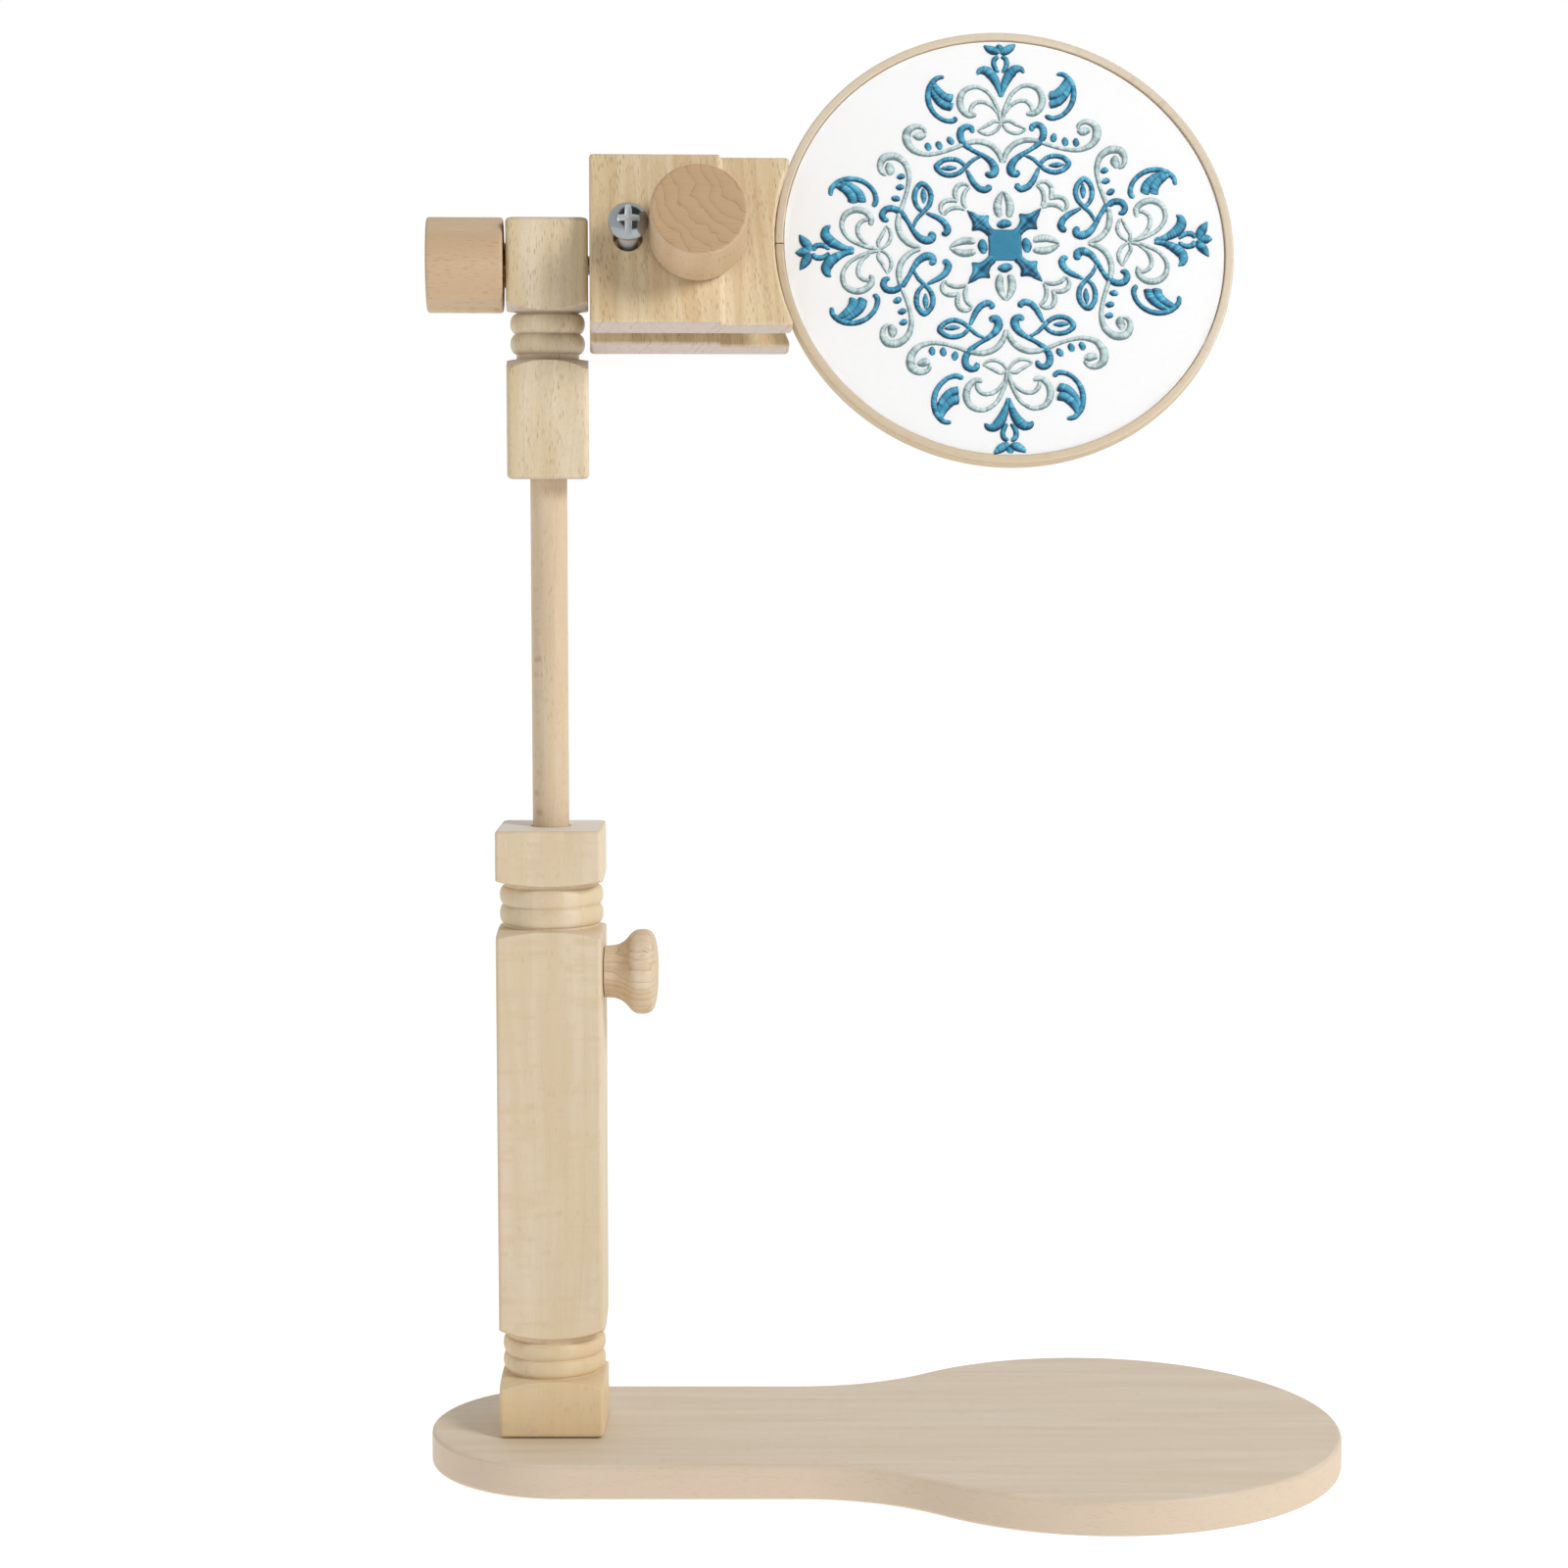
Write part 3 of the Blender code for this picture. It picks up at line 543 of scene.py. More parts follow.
def make_board():
    low, high = span("base_board")
    board = plate("beech_base_board", board_outline(low, high), low.z, high.z, Matrix.Identity(4))
    soften(board, 1.4)
    for side in ("front", "back"):
        a, b = span("base_screw_" + side)
        at_hole = axes_at(Vector(((a.x + b.x) / 2 * MM, (a.y + b.y) / 2 * MM, 0)), WORLD_X, WORLD_Y)
        head_r = (b.x - a.x) / 2 + 0.3
        rows = [(0, high.z + 1), (2.4, high.z + 1), (2.4, 3.4), (head_r, 0.9), (head_r, -1), (0, -1)]
        cut(board, revolved("hole", rows, at_hole, 48))
    stand_in(board, BOARD_WOOD, "base_board")


# ---- square turned posts

def square_radius(angles, half, edge):
    """Distance from the axis to a square bar's rounded outline, for each angle."""
    fold = np.abs((angles + pi / 4) % (pi / 2) - pi / 4)
    flat = half / np.cos(fold)
    q = half - edge
    reach = q * (np.cos(fold) + np.sin(fold))
    corner = reach + np.sqrt(np.maximum(reach ** 2 - 2 * q * q + edge * edge, 0))
    return np.where(half * np.tan(fold) <= q, flat, corner)


def square_angles(half, edge):
    """Angles round a square bar: 40 steps to half a face, and 6 to half a corner."""
    turn = atan2(half - edge, half)
    octant = np.concatenate([np.linspace(0, turn, 40, endpoint=False),
                             np.linspace(turn, pi / 4, 6, endpoint=False)])
    quarter = np.concatenate([octant, [pi / 4], (pi / 2 - octant[:0:-1])])
    return np.concatenate([quarter + k * pi / 2 for k in range(4)])


def bead(z_top, z_bottom, r_waist, r_bead):
    """A half-round bead, from its top waist to just above its bottom one."""
    mid, half = (z_top + z_bottom) / 2, (z_top - z_bottom) / 2
    turns = [pi * i / 14 for i in range(14)]
    return [(r_waist + (r_bead - r_waist) * sin(a), mid + half * cos(a)) for a in turns]


def shoulder(z_face, half, down, neck, depth):
    """Turned corner of a square block, from its neck out past its corners."""
    corner = half * sqrt(2)
    steps = [(neck, -0.12), (half, 0.0), ((half + corner) / 2, 0.40), (corner, 1.0), (corner + 3, 1.6)]
    points = [(r, z_face + down * depth * k) for r, k in steps]
    return points if down < 0 else points[::-1]


LATHE_STEP = 0.22


def turned_post(name, half, edge, low_z, high_z, lathe, turned_spans, matrix, bore_top=None,
                bore_bottom=None, end_edge=1.1):
    """A square bar with turned stretches. lathe is the tool's (radius, z) path, from the top down."""
    angles = square_angles(half, edge)
    radii, heights = zip(*lathe)
    blend = 0.12  # softness of the corner between cut and face

    def outline(z):
        into = max(end_edge - min(high_z - z, z - low_z), 0.0)
        inset = end_edge - sqrt(max(end_edge ** 2 - into ** 2, 0.0))
        square = square_radius(angles, half - inset, edge)
        tool = np.interp(z, heights[::-1], radii[::-1])
        return -blend * np.logaddexp(-square / blend, -tool / blend)

    levels = {high_z, low_z}
    levels.update(high_z - end_edge * k / 5 for k in range(6))
    levels.update(low_z + end_edge * k / 5 for k in range(6))
    for top, bottom in turned_spans:
        levels.update(np.linspace(top, bottom, int((top - bottom) / LATHE_STEP)).tolist())
    rows = [(outline(z), z) for z in sorted(levels, reverse=True)]
    if bore_top:
        radius, depth = bore_top
        rows = [(0, high_z - depth), (radius, high_z - depth), (radius, high_z - 0.4),
                (radius + 0.4, high_z)] + rows
    else:
        rows = [(0, high_z)] + rows
    if bore_bottom:
        radius, depth = bore_bottom
        rows += [(radius + 0.4, low_z), (radius, low_z + 0.4), (radius, low_z + depth), (0, low_z + depth)]
    else:
        rows += [(0, low_z)]
    return revolved(name, rows, matrix, angles)


def make_lower_post():
    half = (post_high.x - post_low.x) / 2
    free, neck, full = half * sqrt(2) + 3, 14.9, 16.4
    path = [(free, post_high.z + 1)]
    path += shoulder(187.1, half, 1, neck, 2.1)
    path += bead(185.7, 179.9, neck, full) + bead(179.9, 173.8, neck, full)
    path += [(neck, 173.8)] + shoulder(172.8, half, -1, neck, 2.4)
    path += shoulder(43.2, half, 1, neck, 3.0)
    path += bead(41.2, 35.7, neck, full) + bead(35.7, 30.3, neck, full)
    path += [(neck, 30.3)] + shoulder(29.4, half, -1, neck, 2.7)
    path += [(free, post_low.z - 1)]
    rod_low, rod_high = span("mast_rod")
    bore_r = (rod_high.x - rod_low.x) / 2 + 0.3
    post = turned_post("beech_lower_post", half, 1.3, post_low.z, post_high.z, path,
                       [(191.4, 168.0), (48.8, 24.4)], POST, bore_top=(bore_r, post_high.z - 38.0))
    drill(post, 4.5, 3.0, half + 1, LOCK)
    stand_in(post, POST_WOOD, "lower_post")


def make_upper_post():
    low, high = span("upper_post", HEAD_POST)
    half = (high.x - low.x) / 2
    free, neck, full = half * sqrt(2) + 3, 9.7, 11.6
    path = [(free, high.z + 1)] + shoulder(365.2, half, 1, neck, 3.0)
    path += bead(364.4, 358.2, neck, full) + bead(358.2, 352.0, neck, full)
    path += [(neck, 352.0)] + shoulder(350.1, half, -1, neck, 3.3) + [(free, low.z - 1)]
    post = turned_post("beech_head_post", half, 1.8, low.z, high.z, path, [(370.5, 343.6)], HEAD_POST,
                       bore_bottom=(6.05, 45.9), end_edge=1.5)
    drill(post, 3.3, -half - 3, half + 3, AXLE)
    stand_in(post, HEAD_WOOD, "upper_post")


# ---- rods, studs and knobs

def make_threaded(name, node, radius, pitch, matrix, material):
    """A screw thread over the whole length of a CAD node."""
    low, high = span(node, matrix)
    z0, z1 = low.z, high.z
    depth = pitch * 0.55
    angles = around(32)
    rows = [(0, z1), (radius - 0.4, z1), (radius, z1 - 0.4)]
    for z in np.arange(z1 - 0.5, z0 + 0.4, -pitch / 8):
        turn = (z / pitch - angles / (2 * pi)) % 1.0
        valley = np.clip(1.25 - np.abs(turn - 0.5) * 3.4, 0, 1)
        rows.append((radius - depth * valley, z))
    rows += [(radius - depth, z0 + 0.2), (radius - depth - 0.3, z0), (0, z0)]
    stand_in(revolved(name, rows, matrix, angles), material, node, sharp=50, even=False)


def make_mast():
    low, high = span("mast_rod", POST)
    rows = rounded([(0, high.z), (high.x, high.z), (high.x, low.z), (0, low.z)], 0.8, steps=4)
    stand_in(revolved("beech_mast_rod", rows, POST, 64), ROD_WOOD, "mast_rod")


def make_lock():
    stud_r = span("lock_stud", LOCK)[1].x
    make_threaded("steel_lock_stud", "lock_stud", stud_r, 1.0, LOCK, STEEL)
    low, high = span("lock_insert", LOCK)
    corners = [(high.x, high.z), (high.x, low.z), (3.3, low.z), (3.3, high.z)]
    rows = rounded(corners, 0.3, closed=True, steps=3)
    insert = revolved("brass_lock_insert", rows, LOCK, 48, ring=True)
    stand_in(insert, BRASS, "lock_insert")
    neck = span("lock_knob", LOCK)[0].z
    touching = post_high.y + 0.3  # the neck ends just off the post
    # mushroom: slim neck at the post, hollow flare, round rim and a low dome
    flare = [(0.0, 8.2), (3.0, 8.55), (5.0, 9.45), (6.4, 10.7), (7.7, 12.2), (9.1, 13.15), (10.9, 13.45),
             (12.7, 13.3), (14.1, 12.6), (15.0, 11.2), (15.7, 8.6), (16.1, 5.0), (16.3, 0.0)]
    bends = travelled(np.array(flare))
    fine = np.linspace(0, bends[-1], 60)
    smooth_x, smooth_r = (catmull(bends, values, fine) for values in np.array(flare).T)
    rows = [(max(r, 0), neck + x) for x, r in zip(smooth_x[::-1], smooth_r[::-1])]
    rows[0] = (0, rows[0][1])
    rows += [(8.2, touching), (3.3, touching), (3.3, neck + 9.6), (0, neck + 9.6)]
    knob = revolved("beech_lock_knob", rows, LOCK, 128)
    stand_in(knob, LOCK_WOOD, "lock_knob")


def make_cylinder_knob(name, node, matrix, wood):
    """A plain wooden cylinder on a flanged brass insert."""
    low, high = span(node, matrix)
    a, b = span(node + "_insert", matrix)
    radius, foot, recess = high.x, low.z - 0.35, b.x + 0.1  # most of the flange lies in a recess
    rows = [(0, high.z), (radius, high.z), (radius, foot), (recess, foot), (recess, a.z + 0.62),
            (4.5, a.z + 0.62), (4.5, low.z + 16), (0, low.z + 16)]
    rows = rounded(rows, [0, 1.1, 1.1, 0, 0, 0, 0, 0], steps=6)
    stand_in(revolved(name, rows, matrix, 128), wood, node)
    rows = [(b.x, a.z + 0.6), (b.x, a.z), (3.3, a.z), (3.3, b.z), (4.2, b.z), (4.2, a.z + 0.6)]
    rows = rounded(rows, [0.25, 0.25, 0.2, 0.1, 0.3, 0], closed=True, steps=4)
    insert = revolved(name.replace("beech", "brass") + "_insert", rows, matrix, 64, ring=True)
    stand_in(insert, BRASS, node + "_insert")


# ---- jaws

HOLLOW_R = 69.7  # of the jaws' end, round the hoop
STEP_X, STEP_DEPTH = 53.3, 2.2  # where the jaws get thinner, and by how much


def jaw_outline(low, high):
    """A plate whose far end is hollowed to the hoop's curve, anticlockwise in x and y."""
    half = high.y
    spread = degrees(asin(half / HOLLOW_R))
    hollow_x = high.x + HOLLOW_R * cos(radians(spread))
    trim = 4.0  # room for the rounded corners, in degrees
    hollow = arc(hollow_x, 0, HOLLOW_R, 180 + spread - trim, 180 - spread + trim, 48)
    corners = [(low.x, -half), (high.x, -half)] + hollow + [(high.x, half), (low.x, half)]
    return rounded(corners, [1.3, 2.2] + [0] * len(hollow) + [2.2, 1.3], closed=True)


def make_jaw(name, node):
    low, high = span(node, FACE)
    jaw = plate(name, jaw_outline(low, high), low.z, high.z, FACE)
    cut(jaw, block("step", (STEP_X, -high.y - 9, high.z - STEP_DEPTH),
                   (high.x + 9, high.y + 9, high.z + 5), FACE))
    soften(jaw, 1.1)
    return jaw, low, high


def make_jaws():
    back, low, high = make_jaw("beech_back_jaw", "back_jaw")
    axle_low, axle_high = span("tilt_axle", AXLE)
    drill(back, 4.0, low.x - 3, axle_high.z + 0.6, AXLE)
    drill(back, 2.7, 0.5, high.z, GUIDE, 0.3)
    drill(back, 3.9, low.z + 1, high.z, CLAMP, 0.3)
    stand_in(back, JAW_WOOD, "back_jaw")
    front, low, high = make_jaw("beech_front_jaw", "front_jaw")
    drill(front, 4.5, low.z - 3, high.z, GUIDE, 0.25)
    drill(front, 3.7, low.z - 3, high.z, CLAMP, 0.25)
    stand_in(front, JAW_WOOD, "front_jaw")

    make_threaded("steel_clamp_stud", "clamp_stud", 3.0, 1.0, CLAMP, STEEL)
    make_guide_screw()
    rows = [(0, axle_high.z), (3.7, axle_high.z), (3.7, 13.7), (3.0, 13.2), (3.0, axle_low.z),
            (0, axle_low.z)]
    axle = revolved("steel_tilt_axle", rounded(rows, 0.35, steps=3), AXLE, 48)
    drill(axle, 2.7, -8, 8, GUIDE)
    stand_in(axle, STEEL, "tilt_axle")


def make_guide_screw():
    """A domed screw head with a slot across it and a short cross, on a plain shank."""
    low, high = span("guide_screw", FACE)
    base = high.z - 3.6
    dome = [(0, high.z)]
    for r, drop in ((1.3, 0.06), (2.6, 0.25), (3.8, 0.62), (4.7, 1.12), (5.4, 1.75), (5.85, 2.4)):
        dome.append((r, high.z - drop))
    rim = [(6.1, base + 0.75), (6.1, base + 0.25), (5.8, base)]
    shank = [(2.4, base), (2.4, low.z + 0.5), (2.0, low.z), (0, low.z)]
    screw = revolved("steel_guide_screw", dome + rim + shank, GUIDE, 96)
    cut(screw, block("slot", (-1.3, -9, high.z - 1.1), (1.3, 9, high.z + 0.6), GUIDE, 0.55))
    cut(screw, block("cross", (-3.7, -1.3, high.z - 1.4), (3.7, 1.3, high.z + 0.6), GUIDE, 0.7))
    stand_in(screw, STEEL, "guide_screw", sharp=30)
    screw.data.materials.append(ZINC)
    radii, heights = zip(*dome)
    for face in screw.data.polygons:  # the slots aren't polished
        x, y, z = face.center / MM
        surface = np.interp(np.hypot(x, y), radii, heights)
        if np.hypot(x, y) < 5.7 and base + 1.0 < z < surface - 0.08:
            face.material_index = 1
    sleeve = [(3.0, base - 0.02), (3.0, 6.25), (2.42, 6.25), (2.42, base - 0.02)]
    sleeve = settle(revolved("steel_guide_shank", sleeve, GUIDE, 64, ring=True), 30)
    ride_with(sleeve, ZINC, "guide_screw")


# ---- hoop

def make_rings():
    low, high = span("hoop_outer_ring", HOOP)
    outer, wall, half = high.x, 2.7, high.z
    corners = [(outer, half), (outer, -half), (outer - wall, -half), (outer - wall, half)]
    rows = rounded(corners, [0.8, 0.8, 0.5, 0.5], closed=True, steps=5)
    ring = revolved("beech_outer_ring", rows, HOOP, 360, ring=True)
    cut(ring, block("split", (-outer - 9, -0.2, -9), (-outer + wall + 9, 0.2, 9), HOOP))
    stand_in(ring, RING_WOOD, "hoop_outer_ring")
    low, high = span("hoop_inner_ring", HOOP)
    inner = high.x - 3.4
    corners = [(high.x, high.z), (high.x, low.z), (inner, low.z), (inner, high.z)]
    rows = rounded(corners, 0.6, closed=True, steps=5)
    ring = revolved("beech_inner_ring", rows, HOOP, 360, ring=True)
    stand_in(ring, RING_WOOD, "hoop_inner_ring")
    return outer - wall


def both_ends(rows, low_z, high_z):
    """Rows of (radius, depth below the top), and the same again at the bottom."""
    return [(r, high_z - z) for r, z in rows] + [(r, low_z + z) for r, z in rows[::-1]]


def make_tension_screw():
    make_threaded("brass_tension_screw", "tension_screw", 2.0, 0.7, TENSION, BRASS)
    low, high = span("tension_thumb_head", TENSION)
    angles = around(240)
    knurl = 0.32 * np.abs(np.sin(angles * 12))
    full = high.x - 0.35 + knurl
    rows = both_ends([(2.3, 0.0), (3.6, 0.0), (4.0, 0.15), (full, 0.8)], low.z, high.z)
    head = revolved("brass_thumb_head", rows, TENSION, angles, ring=True)
    stand_in(head, BRASS, "tension_thumb_head", sharp=40)
    low, high = span("tension_nut", TENSION)
    angles = around(96)
    fold = np.abs((angles + pi / 6) % (pi / 3) - pi / 6)
    flats = high.y / np.cos(fold)
    round_r = high.y * 1.03
    chamfer = np.minimum(flats, round_r + 0.3)
    rows = both_ends([(2.3, 0.0), (round_r, 0.0), (chamfer, 0.25), (flats, 0.5)], low.z, high.z)
    nut = revolved("brass_nut", rows, TENSION, angles, ring=True)
    stand_in(nut, BRASS, "tension_nut", sharp=25)


def dress_small_nodes():
    """Brackets, rivets and base screws keep their CAD shape, and get brass."""
    for node in ("hoop_bracket_upper", "hoop_bracket_lower", "bracket_rivet_upper", "bracket_rivet_lower",
                 "base_screw_front", "base_screw_back"):
        obj = frame["nodes"][node]
        obj.data.materials.clear()
        obj.data.materials.append(BRASS)


def make_cloth(ring_in_r):
    """Cotton over the inner ring: a tight face, a rolled edge, and a hem behind the rings."""
    low, high = span("hoop_fabric", HOOP)
    face, radius, roll = high.z, ring_in_r - 0.1, 0.35
    angles = around(288)
    pull = 0.5 + 0.5 * np.sin(angles * 23 + 2 * np.sin(angles * 5))  # where the cloth is tightest
    rows = [(0, face - 0.10)]
    for share in (k / 40 for k in range(1, 41)):
        dip = 0.10 * (1 - share ** 2) + 0.05 * share ** 8 * pull
        rows.append(((radius - roll) * share, face - dip))
    for a in np.linspace(0, pi / 2, 7)[1:]:
        rows.append((radius - roll + roll * sin(a), face - roll + roll * cos(a)))
    rows += [(radius, z) for z in np.linspace(face - roll - 0.5, low.z + 0.3, 6)]
    wave = 0.35 * np.sin(angles * 31 + 1.3 * np.sin(angles * 7))
    rows += [(radius - 0.25 + wave * 0.3, low.z - 0.3), (radius - 0.9 + wave, low.z - 1.2)]
    cloth = revolved("cotton_cloth", rows, HOOP, angles)
    shell = cloth.modifiers.new("thickness", "SOLIDIFY")
    shell.thickness = 0.32 * MM
    shell.offset = -1
    stand_in(cloth, CLOTH, "hoop_fabric", sharp=60, even=False)
    return cloth, face


# ---- embroidery

# One arm of the medallion, in mm from the hoop's centre: x to the right, y out along the arm, and the
# stitches' half width. Each band is mirrored about the arm, and the arm is repeated four times.
BLUE_BANDS = [
    [(18.2, 56.5, 0.65), (20.4, 56.2, 0.85), (22.4, 54.2, 0.95), (23.5, 50.8, 0.95), (23.1, 47.2, 0.9),
     (21.2, 44.0, 0.8), (18.3, 42.0, 0.8), (15.6, 41.8, 0.9), (14.3, 42.8, 0.85)],  # crescent
    [(16.1, 33.8, 0.6), (16.6, 35.2, 1.1), (17.1, 36.6, 0.6)],  # drops
    [(20.1, 32.3, 0.6), (20.3, 33.8, 1.1), (20.4, 35.2, 0.6)],
    [(23.6, 32.0, 0.6), (23.8, 33.4, 1.1), (23.9, 34.8, 0.6)],
    [(9.5, 37.5, 0.6), (9.8, 39.0, 1.0), (11.2, 39.7, 1.05), (12.9, 38.8, 1.15), (13.4, 36.6, 1.15),
     (12.2, 34.0, 1.05), (9.4, 31.7, 0.75), (6.1, 29.8, 0.85), (3.5, 27.6, 1.2), (2.6, 25.4, 1.4),
     (3.1, 23.9, 1.4), (4.5, 23.7, 1.2), (5.1, 24.6, 0.8)],  # S curl
    [(11.9, 26.6, 0.6), (13.9, 28.4, 0.75), (16.9, 29.1, 0.85), (19.6, 28.4, 0.85), (21.2, 26.7, 0.95),
     (19.7, 24.6, 0.85), (16.8, 23.7, 0.85), (14.0, 24.5, 0.8), (11.9, 26.3, 0.7), (9.7, 28.4, 0.65),
     (7.0, 29.8, 0.5)],  # loop
    [(14.7, 26.1, 0.3), (17.2, 26.1, 0.95), (19.8, 26.2, 0.3)],  # its seed
    [(11.6, 25.4, 0.5), (10.5, 22.9, 0.85), (9.2, 20.6, 1.0), (7.5, 19.0, 1.1), (5.6, 18.6, 1.15),
     (4.6, 19.4, 1.0), (5.3, 20.2, 0.7)],
]
# the crescent's wing, two wide bands side by side with square ends
WING_BANDS = [
    [(15.5, 49.2, 1.55), (17.8, 49.6, 1.6), (19.8, 51.2, 1.5), (21.2, 53.4, 1.2), (21.6, 55.2, 0.5)],
    [(15.6, 46.3, 1.45), (18.0, 46.9, 1.5), (20.2, 48.7, 1.35), (21.8, 51.2, 1.0), (22.5, 53.3, 0.4)],
]
# the flower on the upright arms, and the slimmer one on the level arms
TALL_FLOWER = [
    [(0.1, 64.1, 1.0), (1.7, 64.7, 1.45), (3.6, 65.7, 1.25), (5.1, 66.8, 0.3)],  # petal
    [(0.4, 62.9, 0.7), (1.7, 62.1, 0.85), (2.1, 60.5, 0.85), (1.6, 58.9, 0.8), (0.5, 57.5, 0.5)],  # neck
    [(0.2, 49.2, 0.35), (0.8, 52.0, 0.9), (1.7, 54.6, 1.4), (3.1, 56.9, 1.7), (5.0, 58.4, 1.55),
     (6.7, 58.2, 1.1), (7.6, 57.0, 0.3)],  # leaf
]
SLIM_FLOWER = [
    [(0.1, 63.4, 0.9), (1.9, 64.1, 1.55), (3.9, 65.4, 1.35), (5.8, 66.7, 0.2)],
    [(0.4, 62.3, 0.7), (1.7, 61.6, 0.95), (2.1, 60.0, 0.95), (1.6, 58.4, 0.85), (0.5, 57.0, 0.5)],
    [(0.3, 49.0, 0.9), (0.7, 51.6, 1.0), (1.9, 54.6, 1.5), (3.6, 57.0, 1.8), (5.7, 58.2, 1.6),
     (7.4, 57.8, 1.1), (8.4, 56.5, 0.3)],
]
MINT_BANDS = [
    [(0.3, 41.0, 0.5), (0.7, 43.5, 0.7), (1.9, 47.2, 0.65), (4.2, 50.9, 0.65), (8.0, 52.9, 0.75),
     (11.8, 51.7, 0.95), (13.3, 48.4, 1.1), (12.5, 45.2, 1.05), (10.4, 43.4, 0.95), (8.0, 43.6, 0.75)],
    [(1.2, 43.8, 0.4), (3.1, 46.3, 0.6), (5.6, 47.7, 0.7), (8.1, 47.6, 0.7), (9.6, 46.0, 0.7),
     (10.0, 44.2, 0.6)],
    [(0.2, 40.7, 0.4), (2.3, 41.2, 0.6), (4.6, 40.0, 0.6), (7.9, 38.3, 0.3)],
    [(0.2, 40.3, 0.4), (1.8, 38.1, 0.55), (4.4, 37.0, 0.6), (6.4, 37.4, 0.5), (7.9, 38.3, 0.25)],
    [(0.2, 27.4, 0.6), (1.3, 30.6, 0.9), (3.9, 33.4, 0.95), (7.4, 34.6, 0.95), (11.3, 34.2, 0.8),
     (15.6, 32.6, 0.65), (20.4, 31.2, 0.65), (24.8, 30.9, 0.8), (28.6, 32.4, 1.05), (30.6, 35.7, 1.35),
     (30.1, 38.8, 1.3), (27.6, 40.2, 0.95), (25.1, 39.4, 0.7), (24.4, 38.0, 0.55)],
    [(24.3, 37.3, 0.6), (26.2, 37.0, 1.5), (28.6, 37.3, 0.7)],  # its eye
    [(12.2, 12.6, 0.5), (12.9, 14.6, 0.7), (12.8, 16.7, 0.7), (12.0, 18.5, 0.65), (10.6, 19.6, 0.4)],  # sprig
    [(10.8, 19.8, 0.4), (12.4, 20.7, 0.6), (14.3, 20.3, 0.75), (15.4, 18.6, 0.8), (15.4, 16.6, 0.75),
     (14.9, 15.0, 0.5)],
    [(0.15, 17.9, 0.35), (1.3, 15.8, 0.95), (2.0, 13.4, 1.25), (1.9, 11.2, 1.2), (1.4, 9.4, 0.9)],  # petal
]
# bands that lie on the arm or on the diagonal, so they aren't mirrored
TALL_BUD = [(0, 65.0, 1.0), (0, 66.0, 1.35), (0, 66.9, 1.3)]
SLIM_BUD = [(0, 63.8, 0.9), (0, 65.3, 1.65), (0, 66.8, 1.3), (0, 68.1, 0.3)]
CENTRE_OVAL = [(-2.4, 7.0, 0.8), (0, 7.2, 1.6), (2.4, 7.0, 0.8)]
HOLLY_LEAF = [(3.6, 3.6, 1.9), (5.2, 5.2, 1.5), (6.7, 6.7, 2.2), (7.9, 7.9, 3.7), (8.4, 8.4, 2.7),
              (9.2, 9.2, 1.7), (10.6, 10.6, 1.0), (12.0, 12.0, 0.15)]
STRETCH = np.array([[0.979, 0.012], [0.037, 1.015]])  # the cloth is pulled a little askew
CENTRE = np.array([-0.1, -0.25])
LEVEL_ARM = 0.978  # the level arms are this much shorter
STITCH = 0.50  # thread pitch
STITCH_SAMPLES = 4
PAINTED_LIGHT_SIDE = np.array([0.25, 0.97])  # the way that stitches face where a painted highlight goes
ROOT = -0.12  # where the stitches go into the cloth


def smooth_band(points):
    """Centreline, side directions and half widths, sampled a few times for each stitch."""
    points = np.array(points, float)
    knots = travelled(points[:, :2])
    dense = np.linspace(0, knots[-1], 400)
    line = np.stack([catmull(knots, points[:, k], dense) for k in range(3)], 1)
    run = travelled(line[:, :2])
    stitches = max(3, round(run[-1] / STITCH))
    at = np.linspace(0, run[-1], stitches * STITCH_SAMPLES + 1)
    x, y, width = (np.interp(at, run, line[:, k]) for k in range(3))
    dx, dy = np.gradient(x, at), np.gradient(y, at)
    size = np.hypot(dx, dy)
    return np.stack([x, y], 1), np.stack([dx / size, dy / size], 1), np.maximum(width, 0.12), at, stitches


